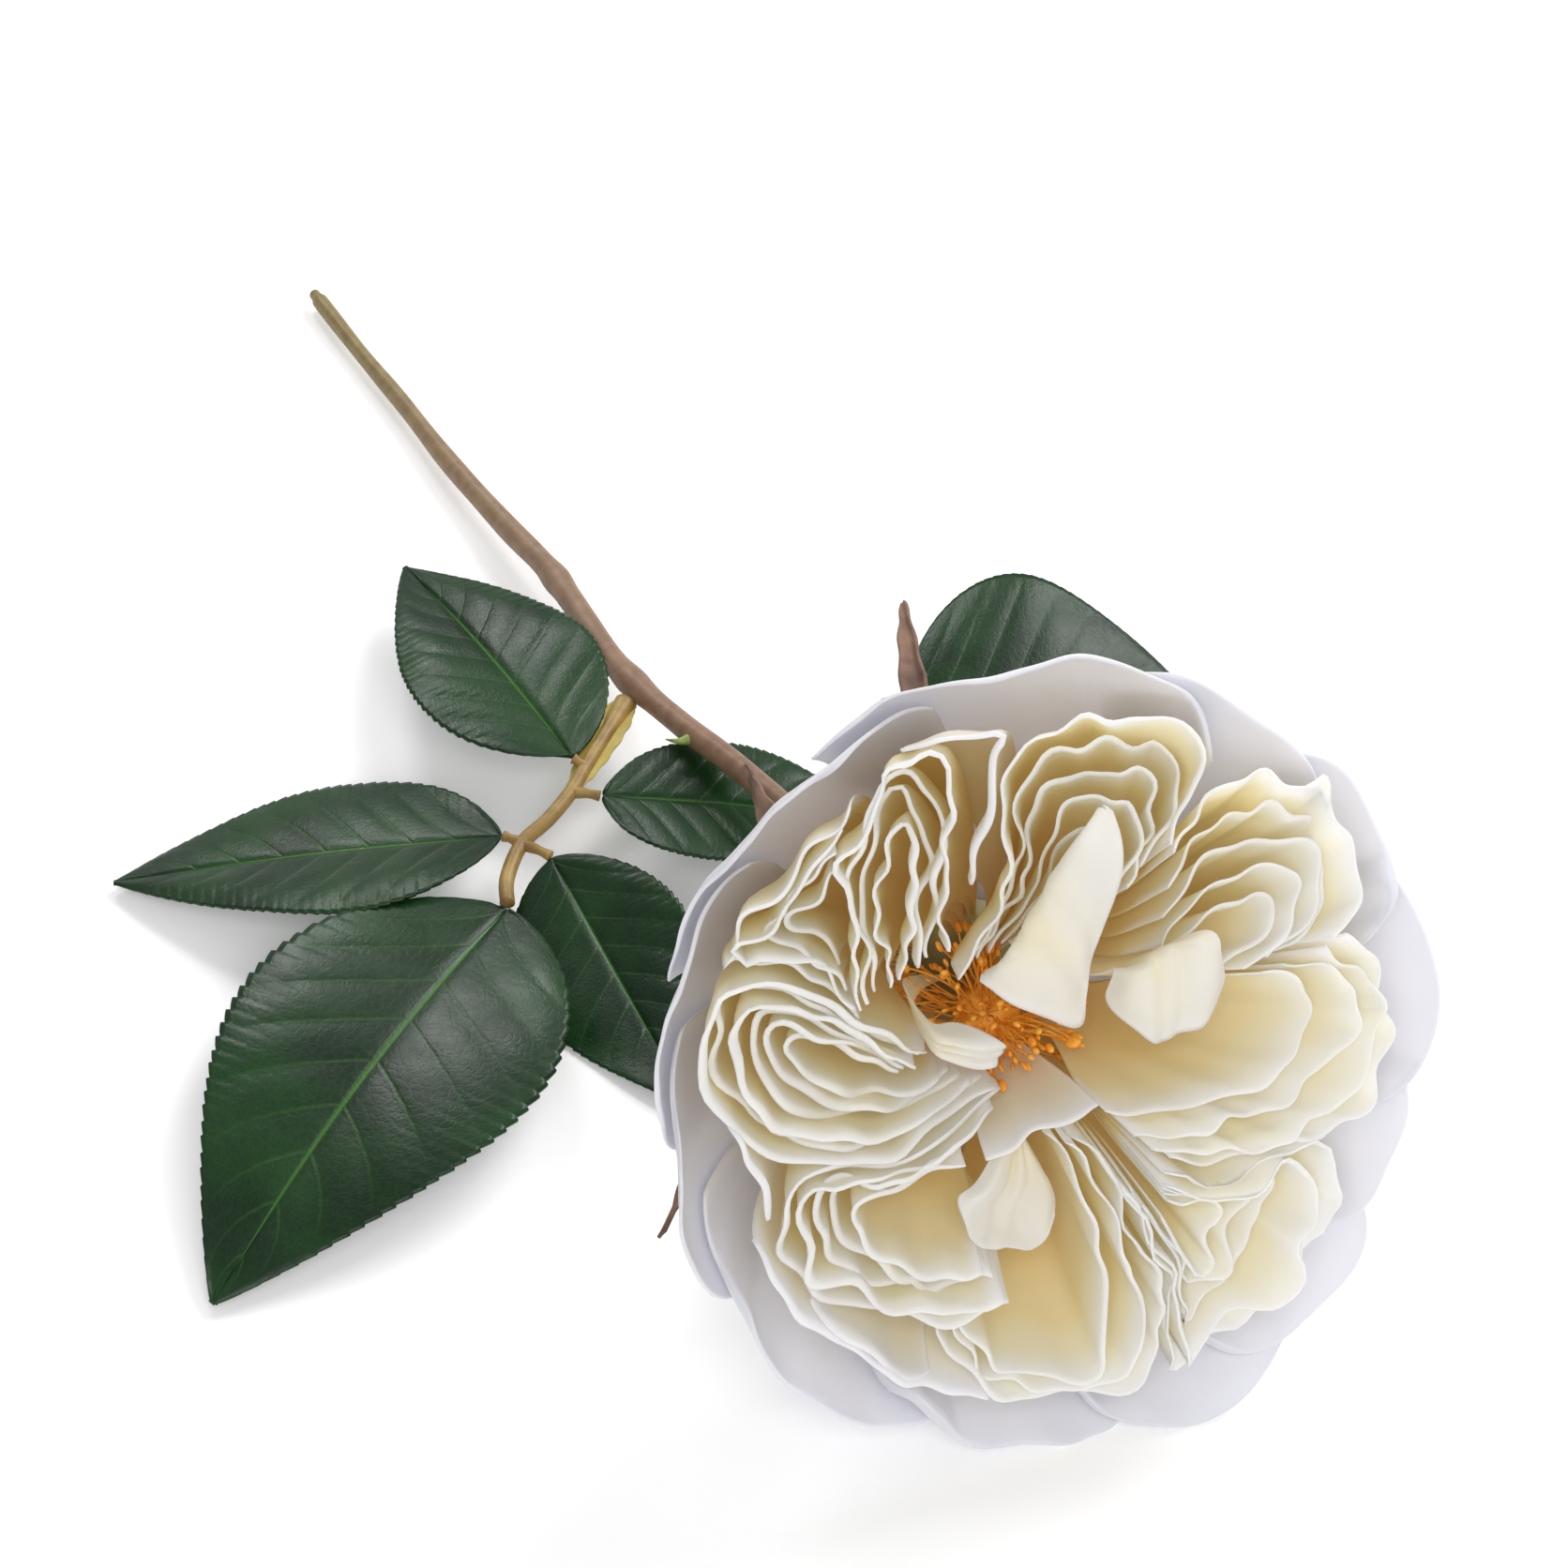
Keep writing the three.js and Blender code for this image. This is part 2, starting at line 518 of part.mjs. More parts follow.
// ---------------------------------------------------------------- sepals
// Five long sepals bent back from the top of the hip. Each has the bearing of its foot
// round the bloom's axis, then the place of its tip.
const SEPALS = [
  [100, V(-16.5, 100.5, 46)],
  [205, V(-52, -5, 21)],
  [152, V(-40.5, 82, 29)],
  [18, V(38, 66, 40)],
  [290, V(18, 66, 14)],
];
SEPALS.forEach(([bearing, tip], i) => {
  const x = Math.cos(rad(bearing));
  const y = Math.sin(rad(bearing));
  const out = bloom(x, y, 0).sub(CENTRE);
  const footRadius = cupRadius + 1.6;
  const foot = bloom(x * footRadius, y * footRadius, -BLOOM_DEPTH - 1.5);
  const bend = foot.clone().lerp(tip, 0.5).addScaledVector(out, i === 1 ? 9.5 : 5).addScaledVector(AXIS, -2);
  const line = through([foot, bend, tip]);
  const rows = [];
  for (let k = 0; k <= 7; k += 1) {
    const u = k / 7;
    const centre = line.getPointAt(u);
    const side = line.getTangentAt(u).cross(out).normalize();
    const width = 0.5 * SEPAL_WIDTH * (1 - u) ** 0.7 + 0.35;
    const cup = out.clone().multiplyScalar(-0.25 * width);
    const row = [-1, 0, 1].map((s) => centre.clone().addScaledVector(side, s * width));
    row[1].add(cup);
    rows.push(row);
  }
  flower.add(sheet(`sepal_${i + 1}`, rows, () => 0.8, SEPAL));
});

// ---------------------------------------------------------------- leaf stalks
const at = (x, y, z) => nodePoint.clone().add(V(x, y, z));
const stalkStart = at(-0.9, -STEM_RADIUS - STALK_RADIUS - 1.1, -0.4);
const firstFork = at(-9.2, -23.6, -1.2);
const secondFork = at(-16.6, -34.0, -2.2);
const mainStalk = rod(
  through([stalkStart, at(-3.9, -11.5, -0.3), at(-7.2, -19, -0.8), firstFork,
    at(-12.6, -29.2, -1.6), secondFork, at(-18.6, -41.2, -2.4), at(-18.4, -46.6, -2.4)]),
  20,
  7,
  (u) => STALK_RADIUS * (1 + 0.55 * Math.exp(-((u / 0.1) ** 2))),
);
const twig = (from, to) => rod(through([from, from.clone().lerp(to, 0.5), to]), 2, 6, () => 0.85);
const leafEnds = {
  terminal: at(-18.2, -47.4, -2.4),
  left: at(-19.4, -32.6, -1.9),
  upper: at(-8.9, -17.6, 0.3),
  upper_right: at(-4.6, -24.4, -1.2),
  lower_right: at(-12.0, -36.6, -2.2),
};
flower.add(joined('leaf_stalk', [
  mainStalk,
  twig(secondFork, leafEnds.left),
  twig(at(-7.0, -18.6, -0.8), leafEnds.upper),
  twig(firstFork, leafEnds.upper_right),
  twig(secondFork, leafEnds.lower_right),
], STALK));

const upperNode = stemCurve.getPointAt(0.17);
const besideStem = stemCurve.getTangentAt(0.17).cross(V(0, 0, 1)).normalize();
if (besideStem.x < 0) besideStem.negate();
const bractStart = upperNode.clone().addScaledVector(besideStem, STEM_RADIUS + GAP);
const bractTurn = bractStart.clone().addScaledVector(besideStem, 2).add(V(0, 1.2, 0));
const bractEnd = V(-16, 109, 17);
const bractStalk = rod(
  through([bractStart, bractTurn, V(-20, 88, 18.6), V(-19.8, 105.5, 17.3), bractEnd]),
  6,
  7,
  () => STALK_RADIUS * 0.9,
);
bractStalk.name = 'upper_leaf_stalk';
bractStalk.material = STALK;
flower.add(bractStalk);

// ---------------------------------------------------------------- leaflets
// A pointed oval blade from its foot towards its tip. sway bows it sideways, arch lifts
// its middle, fold raises its two halves off the midrib, roll tips it about its own length.
function leaflet(name, foot, span, width, { sway = 0, arch = 3, fold = 0.18, roll = 0 }) {
  const reach = span.clone().multiplyScalar(LEAFLET_SCALE);
  const start = foot.clone().addScaledVector(reach.clone().normalize(), 1.6 * GAP);
  const side = V(reach.y, -reach.x, 0).normalize().applyAxisAngle(reach.clone().normalize(), rad(roll));
  const up = side.clone().cross(reach).normalize();
  const half = (width / 2) * LEAFLET_SCALE;
  const rows = [];
  const steps = 14;
  for (let i = 0; i <= steps; i += 1) {
    const u = i / steps;
    const centre = start.clone().addScaledVector(reach, u)
      .addScaledVector(side, sway * Math.sin(Math.PI * u))
      .addScaledVector(up, arch * Math.sin(Math.PI * u));
    const oval = Math.sin(Math.PI * u ** 0.78) ** 0.8 * (1 - 0.25 * u * u);
    const tooth = i % 2 ? 1 : 0.955;
    const breadth = Math.max(0.7, half * oval * tooth);
    rows.push([-1, -0.5, 0, 0.5, 1].map((s) => centre.clone()
      .addScaledVector(side, s * breadth)
      .addScaledVector(up, fold * breadth * Math.abs(s) ** 1.3 * (1 - 0.75 * Math.abs(s)))));
  }
  return sheet(name, rows, () => LEAF_THICKNESS, LEAF);
}
flower.add(leaflet('leaflet_terminal', leafEnds.terminal, V(-40.6, -72.8, -7.0), 54, { arch: 5 }));
flower.add(leaflet('leaflet_left', leafEnds.left, V(-60.6, -2.6, -7.6), 38,
  { arch: 1, roll: 12 }));
flower.add(leaflet('leaflet_upper', leafEnds.upper, V(-28.6, 47.4, -3.4), 33, { arch: 2 }));
flower.add(leaflet('leaflet_upper_right', leafEnds.upper_right, V(44, -2, -4), 28,
  { arch: 1, roll: 0 }));
flower.add(leaflet('leaflet_lower_right', leafEnds.lower_right, V(22, -45, -7), 30,
  { arch: -2, roll: 14 }));
flower.add(leaflet('leaflet_upper_leaf', bractEnd, V(48, 4, -8), 50, { arch: 3, roll: 8 }));

// ---------------------------------------------------------------- set down
flower.rotation.z = -rad(STEM_HEADING);
flower.updateMatrixWorld(true);
const box = new THREE.Box3().setFromObject(flower, true);
const set = V(-(box.min.x + box.max.x) / 2, -(box.min.y + box.max.y) / 2, -box.min.z);
flower.position.copy(set);
flower.updateMatrixWorld(true);

export default flower;
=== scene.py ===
# %% [markdown]
# # A cut rose, lying down
# This lesson builds a very double garden rose on a short leafy stem. Its bloom is
# quartered: the petals stand in folded stacks, called nests, packed edge to edge like the
# pages of several half-open books. The plan is to lay those folds out once on a flat map of
# the bloom's face and to let one formula carry the map into the cupped flower. Lines that
# don't cross on the map give petals that don't cut through each other in space.

# %% Set up the frame
import math
import bpy
import numpy as np
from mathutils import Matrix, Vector


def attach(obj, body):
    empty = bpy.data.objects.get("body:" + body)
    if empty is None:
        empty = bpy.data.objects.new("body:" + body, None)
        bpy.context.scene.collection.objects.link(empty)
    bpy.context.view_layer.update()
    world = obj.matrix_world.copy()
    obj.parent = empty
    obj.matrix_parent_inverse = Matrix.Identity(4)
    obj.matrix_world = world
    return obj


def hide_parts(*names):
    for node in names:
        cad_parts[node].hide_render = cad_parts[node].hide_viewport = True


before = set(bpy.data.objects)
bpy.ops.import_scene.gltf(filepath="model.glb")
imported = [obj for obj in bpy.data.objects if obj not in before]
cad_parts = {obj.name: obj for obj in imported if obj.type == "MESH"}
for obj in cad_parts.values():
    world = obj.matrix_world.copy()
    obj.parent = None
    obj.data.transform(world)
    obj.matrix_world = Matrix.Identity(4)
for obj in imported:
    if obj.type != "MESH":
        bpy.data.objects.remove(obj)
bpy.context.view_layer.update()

# %% [markdown]
# ## One place for everything
# The flower is laid out in millimetres with the bloom near (0, 0), which keeps the numbers
# easy to read. `placed` then turns the lay-out so that the stem runs
# along Y, sets it down, and changes to metres. Every piece goes through it, so no object
# ever has to be moved or scaled afterwards.

# %% Lay-out to scene
HEADING = math.radians(28.7)
SET_DOWN = (10.658, -109.502, 0.626)


def placed(points):
    p = np.asarray(points, float)
    c, s = math.cos(HEADING), math.sin(HEADING)
    turned = np.stack([c * p[..., 0] + s * p[..., 1], c * p[..., 1] - s * p[..., 0], p[..., 2]], -1)
    return (turned + SET_DOWN) / 1000


def unit(v):
    """A direction of length 1, or one for each row."""
    v = np.asarray(v, float)
    return v / np.linalg.norm(v, axis=-1, keepdims=True)


def smooth(x):
    t = np.clip(x, 0, 1)
    return t * t * (3 - 2 * t)


def bell(x):
    return np.exp(-np.square(x))


# %% [markdown]
# ## Sheets
# Petals, leaves and sepals are all thin sheets. A grid of points gives the middle of the
# sheet; the front and the back are that grid pushed half the thickness along its normals,
# and a strip of faces closes the rim. Building the mesh from a grid keeps the faces square
# and lets each vertex carry extra numbers, such as how deep in the bloom it lies, that the
# materials read later.

# %% Sheets with thickness
def linked(name, data):
    obj = bpy.data.objects.new(name, data)
    bpy.context.scene.collection.objects.link(obj)
    return obj


def new_object(name, verts, faces, values=None, uv=None):
    mesh = bpy.data.meshes.new(name)
    mesh.from_pydata(verts.tolist(), [], faces.tolist() if hasattr(faces, "tolist") else faces)
    for key, data in (values or {}).items():
        layer = mesh.attributes.new(key, "FLOAT", "POINT")
        layer.data.foreach_set("value", np.asarray(data, np.float32).ravel())
    if uv is not None:
        layer = mesh.uv_layers.new(name="UVMap")
        index = np.empty(len(mesh.loops), int)
        mesh.loops.foreach_get("vertex_index", index)
        layer.data.foreach_set("uv", uv[index].astype(np.float32).ravel())
    mesh.shade_smooth()
    return linked(name + "_look", mesh)


def grid_faces(rows, columns):
    i, j = np.meshgrid(np.arange(rows - 1), np.arange(columns - 1), indexing="ij")
    a = (i * columns + j).ravel()
    return np.stack([a, a + 1, a + columns + 1, a + columns], -1)


def sheet(name, grid, thickness, values=None, uv=None):
    rows, columns = grid.shape[:2]
    along = np.gradient(grid, axis=0)
    across = np.gradient(grid, axis=1)
    normal = np.cross(along, across)
    normal /= np.linalg.norm(normal, axis=-1, keepdims=True) + 1e-9
    half = 0.5 * np.broadcast_to(np.asarray(thickness, float), (rows, columns))[..., None]
    verts = np.concatenate([(grid + normal * half).reshape(-1, 3), (grid - normal * half).reshape(-1, 3)])
    n = rows * columns
    front = grid_faces(rows, columns)
    ids = np.arange(n).reshape(rows, columns)
    edge = np.concatenate([ids[0, :-1], ids[:-1, -1], ids[-1, :0:-1], ids[:0:-1, 0]])
    following = np.roll(edge, -1)
    rim = np.stack([edge, edge + n, following + n, following], -1)
    faces = np.concatenate([front, front[:, ::-1] + n, rim])
    world = placed(verts)
    a, b, c = (world[front[:, k]] for k in (0, 1, 2))
    facing = np.cross(b - a, c - a)
    if np.sum(facing * placed_normal(normal)[front[:, 0] // columns, front[:, 0] % columns]) < 0:
        faces = faces[:, ::-1]
    double = {k: np.tile(np.asarray(v, float).ravel(), 2) for k, v in (values or {}).items()}
    return new_object(name, world, faces, double, None if uv is None else np.tile(uv.reshape(-1, 2), (2, 1)))


def placed_normal(normal):
    return placed(normal) - placed(np.zeros(3))


# %% [markdown]
# ## The map of the bloom
# `lifted` is the formula that carries a point of the flat map to its place in the flower.
# Low down the map shrinks towards the hip, where all petals are fixed; higher up it widens
# into a dome. `flat` lets one side of the bloom lie open like a saucer, and a slow twist
# leans the upper folds over. Points past the face's radius belong to the guard petals, the
# big smooth ones round the outside, whose rims turn back.

# %% The bloom's own frame
FACE_RADIUS = 52.5
GUARD_STEP, GUARD_FLARE, GUARD_DROP, GUARD_SAG = 2.4, 4.4, 7.0, 3.2
SIDE_FLARE = GUARD_FLARE - 2.8  # the rims turn back less at the left and the right
SIDE_DRIFT = 0.8  # how far the rims drift to the right for each millimetre that they sag
BLOOM_DEPTH, DOME, FUNNEL = 44.0, 5.0, 0.34
BASE_SCALE, PETAL_START = 0.12, 0.08
GUARD_RADIUS = FACE_RADIUS + GUARD_STEP
RIM_RADIUS = GUARD_RADIUS + GUARD_FLARE
AXIS = unit((0.265, -0.843, 0.468))
ACROSS = unit(np.array((1, 0, 0)) - AXIS[0] * AXIS)
UPWARD = np.cross(AXIS, ACROSS)
CENTRE = np.array((4.0, -7.1, RIM_RADIUS * UPWARD[2] + 5.8))
TWIST, TWIST_BEARING, TWIST_SPREAD = 0.5, 1.6, 0.9
OPENING, OPEN_BEARING = 0.62, math.radians(-22)
EYE = (-0.06 * FACE_RADIUS, 0.02 * FACE_RADIUS)


def bloom(x, y, depth):
    x, y, depth = (np.asarray(v, float)[..., None] for v in (x, y, depth))
    return CENTRE + ACROSS * x + UPWARD * y + AXIS * depth


def lifted(x, y, t):
    rho, bearing = np.hypot(x, y), np.arctan2(y, x)
    off = np.arctan2(np.sin(bearing - TWIST_BEARING), np.cos(bearing - TWIST_BEARING))
    phi = bearing - TWIST * (1 - t) * bell(off / TWIST_SPREAD)
    guard = smooth((rho - FACE_RADIUS - 0.4) / 1.3)
    flat = OPENING * ((1 + np.cos(phi - OPEN_BEARING)) / 2) ** 1.3 * (1 - 0.55 * guard)
    quarter = np.pi * t / 2
    spread = (1 - flat) * np.sin(quarter) + flat * t ** 1.5
    scale = BASE_SCALE + (1 - BASE_SCALE) * spread
    outer = np.clip((rho / RIM_RADIUS) ** 2, 0, 1)
    upright = (1 - outer) * t + outer * (1 - np.cos(quarter))
    rise = (1 - flat) * upright + flat * np.sin(quarter)
    turn = np.clip((t - 0.45) / 0.55, 0, 2) ** 2 * guard
    layer = np.maximum(0, rho - FACE_RADIUS)
    r = rho * scale
    depth = -BLOOM_DEPTH * (1 - rise) + DOME * t * t * (1 - outer) - (GUARD_DROP + 0.9 * layer) * turn
    sag = GUARD_SAG * turn
    across = (r + SIDE_FLARE * turn) * np.cos(phi) + SIDE_DRIFT * sag
    return across, (r + GUARD_FLARE * turn) * np.sin(phi) - sag, depth


def face_top(x, y):
    d = np.hypot(x - EYE[0], y - EYE[1]) / FACE_RADIUS
    return 1 - FUNNEL * bell(d / 0.36)


def waves(x, y, length, seed):
    """A smooth random height between about -1 and 1 that repeats nowhere near."""
    total = 0
    for k in range(5):
        a = 2.4 * k + 1.7 * seed
        size = length * (1 + 0.35 * math.sin(3.1 * k + seed))
        total = total + np.sin(2 * np.pi / size * (x * math.cos(a) + y * math.sin(a)) + 5.3 * k + 2.9 * seed)
    return total / 2.6


# %% [markdown]
# ## The folds
# Each nest is a stack of petals folded one inside the other. Only the outermost and the
# innermost rim are given, as points on the map in hundredths of the face's radius; the ones
# between are blended from those two, as the pages of a book follow its covers.

# %% The folds on the map
NESTS = {
    "left": (6, (0, 2, 4),
        [-14, -11, -36, -16, -59, -20, -81, -12, -95, 1, -97, 18, -94, 30, -75, 28, -58, 18, -34, 4],
        [-30, -6, -42, -7, -54, -4, -64, -1, -71, 4, -74, 8, -72, 11, -66, 10, -55, 5, -43, -1]),
    "lower_left": (6, (0, 2, 4),
        [-12, -14, -28, -20, -43, -24, -59, -24, -71, -25, -76, -32, -76, -43, -69, -53, -54, -63, -34, -66,
         -14, -66],
        [-30, -32, -34, -33, -40, -33, -46, -35, -51, -37, -53, -40, -51, -43, -45, -48, -36, -51, -28, -53,
         -22, -54]),
    "lower": (3, (0, 2),
        [-33, -71, -27, -83, -14, -96, 2, -102, 17, -101, 26, -94, 28, -80, 26, -63, 21, -46, 13, -31, 6,
         -27],
        [-28, -69, -23, -79, -14, -88, -4, -93, 6, -94, 12, -88, 14, -76, 13, -60, 9, -45, 3, -32, -1, -28]),
    "lower_right": (5, (0, 2, 4),
        [31, -33, 47, -37, 63, -31, 77, -30, 83, -40, 80, -51, 74, -59, 73, -69, 61, -81, 46, -89, 36, -99,
         33, -85, 31, -65, 25, -47, 16, -32],
        [35, -44, 40, -45, 45, -44, 48, -45, 49, -47, 48, -50, 46, -52, 45, -56, 44, -59, 41, -61, 40, -62,
         39, -59, 37, -55, 35, -51, 33, -47]),
    "right": (4, (0, 1, 3),
        [33, -29, 53, -29, 74, -26, 90, -20, 98, -6, 100, 6, 99, 19, 94, 28, 82, 33],
        [18, -19, 29, -18, 44, -16, 57, -10, 69, -2, 75, 7, 75, 16, 70, 23, 60, 26]),
    "upper_right": (5, (0, 2, 4),
        [28, 59, 38, 74, 51, 81, 65, 82, 77, 74, 84, 61, 85, 49, 82, 40, 73, 34],
        [31, 27, 37, 35, 43, 42, 49, 46, 55, 48, 59, 46, 59, 40, 56, 34, 48, 27]),
    "upper": (6, (0, 2, 4),
        [-28, 24, -22, 42, -18, 61, -18, 80, -12, 93, 2, 98, 19, 98, 31, 102, 36, 92, 33, 77, 25, 62],
        [-11, 31, -8, 39, -4, 48, -1, 55, 2, 60, 4, 63, 6, 61, 7, 56, 6, 50, 4, 44, 2, 37]),
    "upper_left": (4, (0, 2),
        [-56, 23, -57, 35, -59, 49, -62, 60, -56, 70, -54, 81, -55, 89, -45, 88, -36, 84, -32, 73, -32, 61,
         -34, 49, -34, 33],
        [-48, 24, -48, 33, -50, 42, -51, 53, -49, 61, -47, 66, -44, 70, -42, 67, -41, 60, -41, 51, -43, 42,
         -44, 33, -44, 25]),
    "far_left": (4, (0, 2),
        [-59, 75, -68, 65, -78, 55, -86, 44, -94, 36, -87, 36, -76, 34, -66, 30, -55, 18],
        [-64, 59, -67, 55, -70, 51, -73, 47, -73, 44, -71, 42, -68, 40, -65, 37, -61, 31]),
}
SINGLES = {
    "frayed": [-49, 91, -39, 93, -28, 97, -21, 98, -21, 90, -22, 77, -26, 65, -28, 51],
    "side": [-90, -7, -85, -14, -81, -23, -80, -35],
    "strip": [-84, -41, -76, -54, -63, -68, -49, -78, -34, -88, -20, -96],
    "strip_inner": [-67, -60, -59, -67, -52, -74, -45, -80, -36, -84],
    "sill": [-20, -29, -13, -26, -7, -23, 2, -21, 11, -17, 15, -16],
}
DRAPED = {
    "flop": ([-11, 31, -7, 40, -4, 49, 0, 57, 4, 62, 7, 60, 7, 55], [0.08, 0.3, 0.52, 0.7, 0.8], [
        [-22, 24, -5, -19, 31, 0, -15, 40, 4, -11, 48, 6, -7, 58, 8, -1, 67, 9, 8, 73, 8],
        [-23, 21, -6, -16, 26, 0, -10, 33, 5, -4, 42, 8, 1, 52, 10, 6, 61, 11, 14, 69, 10],
        [-23, 20, -7, -13, 18, -3, -5, 21, 0, 1, 28, 3, 5, 40, 8, 11, 53, 10, 19, 62, 9],
        [-23, 18, -8, -12, 12, -8, -1, 8, -7, 10, 6, -7, 9, 24, 0, 13, 42, 6, 22, 56, 7],
    ]),
    "tongue": ([-41, 18, -41, 16, -40, 15, -39, 13, -38, 11], [0.08, 0.35, 0.6], [
        [-33, 13, -9, -34, 12, -8, -34, 10, -8, -34, 8, -8, -33, 6, -9],
        [-27, 12, -8, -28, 10, -6, -28, 7, -5, -28, 4, -6, -28, 2, -7],
        [-20, 11, -8, -20, 9, -5, -21, 6, -4, -20, 2, -5, -20, -2, -8],
        [-14, 9, -10, -14, 7, -7, -14, 5, -6, -14, 1, -7, -14, -2, -10],
        [-11, 6, -13, -11, 5, -11, -11, 3, -10, -11, 1, -11, -11, -1, -13],
    ]),
    "spoon": ([-13, -29, -10, -29, -8, -30, -6, -31, -4, -33], [0.08, 0.3, 0.5, 0.66], [
        [-19, -34, -12, -11, -34, -16, -5, -35, -17, 0, -37, -16, 3, -39, -13],
        [-26, -37, -8, -16, -40, -14, -8, -42, -16, -2, -43, -13, 3, -45, -8],
        [-28, -41, -5, -18, -45, -11, -9, -48, -13, -2, -50, -11, 2, -50, -5],
        [-29, -44, -2, -21, -48, -7, -12, -51, -8, -5, -53, -8, 0, -54, -4],
        [-27, -47, -2, -21, -51, -3, -13, -54, -3, -7, -56, -3, -3, -56, -3],
    ]),
    "tip": ([15, 27, 20, 29, 25, 32, 31, 34, 36, 36], [0.08, 0.3, 0.5, 0.7], [
        [15, 26, -3, 20, 30, 3, 25, 34, 6, 32, 37, 8, 38, 38, 8],
        [15, 21, -4, 19, 26, 2, 26, 29, 6, 35, 30, 8, 43, 29, 6],
        [14, 15, -6, 19, 17, 0, 27, 19, 3, 36, 20, 4, 46, 20, 3],
        [16, 9, -8, 22, 9, -4, 29, 10, 0, 38, 10, 0, 46, 11, -1],
        [19, 3, -9, 25, 1, -7, 32, 0, -6, 40, 1, -6, 45, 5, -6],
    ]),
}


def spline(points, count):
    """Points on a smooth curve through the given ones, at equal steps of length."""
    p = np.asarray(points, float)
    p = np.concatenate([[2 * p[0] - p[1]], p, [2 * p[-1] - p[-2]]])
    fine = []
    for k in range(1, len(p) - 2):
        u = np.linspace(0, 1, 16, endpoint=k == len(p) - 3)[:, None]
        a, b, c, d = p[k - 1:k + 3]
        fine.append(0.5 * (2 * b + (c - a) * u + (2 * a - 5 * b + 4 * c - d) * u ** 2
                           + (3 * b - a - 3 * c + d) * u ** 3))
    fine = np.concatenate(fine)
    length = np.concatenate([[0], np.cumsum(np.linalg.norm(np.diff(fine, axis=0), axis=1))])
    want = np.linspace(0, length[-1], count)
    return np.stack([np.interp(want, length, fine[:, k]) for k in range(p.shape[1])], -1)


FREE_SHARE = 0.86  # points farther out than this share of the radius are drawn in
LINE_POINTS = 161


def fold_line(numbers):
    p = np.asarray(numbers, float).reshape(-1, 2) / 100
    rho = np.linalg.norm(p, axis=1, keepdims=True)
    inside = FREE_SHARE + (1 - FREE_SHARE) * np.tanh((rho - FREE_SHARE) / (1 - FREE_SHARE))
    p = np.where(rho > FREE_SHARE, p * inside / np.maximum(rho, 1e-6), p)
    return spline(p * FACE_RADIUS, LINE_POINTS)


# %% [markdown]
# ## A petal
# A real petal is a thin, slightly waxy sheet: narrow and thick where it is fixed, broad and
# wavy at the rim, and rolled over at the very edge. Here it hangs like a curtain from its
# line on the map. The last few millimetres follow a small arc, `curl`, which makes the
# bright rolled lips. Two layers of slow waves bend the sheet: one shared by all petals, so
# that neighbours move together, and one of its own.

# %% Petals hung from their lines
PETAL_BASE, PETAL_RIM = 0.26, 0.28
ROLL_START, ROLL_ANGLE = 0.78, math.radians(125)
SHARED_WAVE = 0.7


def petal_grid(line, top, narrow, curl, seed, across=60, up=24, ruffle=0.4, outward=None):
    s = np.linspace(-1, 1, len(line))
    slope = np.gradient(line, axis=0)
    normal = unit(np.stack([slope[:, 1], -slope[:, 0]], -1))
    away = line - (line.mean(0) if outward is None else np.array(outward))
    if np.sum(normal * away) < 0:
        normal = -normal
    want = np.linspace(-1, 1, across + 1)
    rim = np.stack([np.interp(want, s, line[:, k]) for k in (0, 1)], -1)
    height = top(want, rim[:, 0], rim[:, 1])[:, None]
    w = np.linspace(0, 1, up + 1)[None, :]
    body = np.clip(w / ROLL_START, 0, 1)
    roll = np.clip((w - ROLL_START) / (1 - ROLL_START), 0, 1)
    radius = curl * (1 - 0.55 * want ** 4)[:, None] * (1 + 0.35 * waves(rim[:, :1], rim[:, 1:], 17, seed + 3))
    angle = roll * ROLL_ANGLE
    rise = radius * np.sin(angle) / BLOOM_DEPTH
    t = PETAL_START + (height - radius / BLOOM_DEPTH - PETAL_START) * body ** 0.9 + rise
    reach = narrow + (1 - narrow) * smooth(t / 0.6)
    at = want[:, None] * reach
    x, y, nx, ny = (np.interp(at, s, v) for v in (line[:, 0], line[:, 1], normal[:, 0], normal[:, 1]))
    lively = smooth((t - 0.25) / 0.75)
    push = ruffle * lively * waves(x, y, 9, seed) * (1 - 0.3 * want[:, None] ** 2)
    push = radius * (1 - np.cos(angle)) + push
    x, y = x + nx * push, y + ny * push
    x = x + SHARED_WAVE * lively * waves(x, y, 26, 1)
    y = y + SHARED_WAVE * lively * waves(x, y, 24, 2)
    return x, y, t, w


def petal(name, line, top, node=None, narrow=0.3, curl=0.8, seed=0, slot="petal", warm=0.5, **more):
    x, y, t, w = petal_grid(line, top, narrow, curl, seed, **more)
    px, py, depth = lifted(x, y, t)
    rows, columns = px.shape
    rim = np.broadcast_to(smooth((w - 0.85) / 0.15), px.shape)
    s = np.broadcast_to(np.linspace(0, 1, rows)[:, None], px.shape)
    edge = smooth(1 - np.minimum(s, 1 - s) / 0.06)
    # The colour follows how far a spot lies below its petal's top. This is partly the petal's own yellow base
    # and partly painted shade and glow, which darken and warm the deep folds.
    below = np.clip((depth.max(1, keepdims=True) - depth) / BLOOM_DEPTH, 0, 1)
    depth_tint_and_shade = below if slot == "petal" else 0.35 * below
    values = {"depth_tint_and_shade": depth_tint_and_shade, "rim": np.maximum(rim, edge * (w > 0.5)),
              "warm": np.full(px.shape, warm)}
    uv = np.stack([s * 2, np.broadcast_to(w, px.shape)], -1)
    thickness = PETAL_BASE + (PETAL_RIM - PETAL_BASE) * w
    obj = sheet(name, bloom(px, py, depth), thickness, values, uv)
    petals.append((obj, node, slot))
    return obj


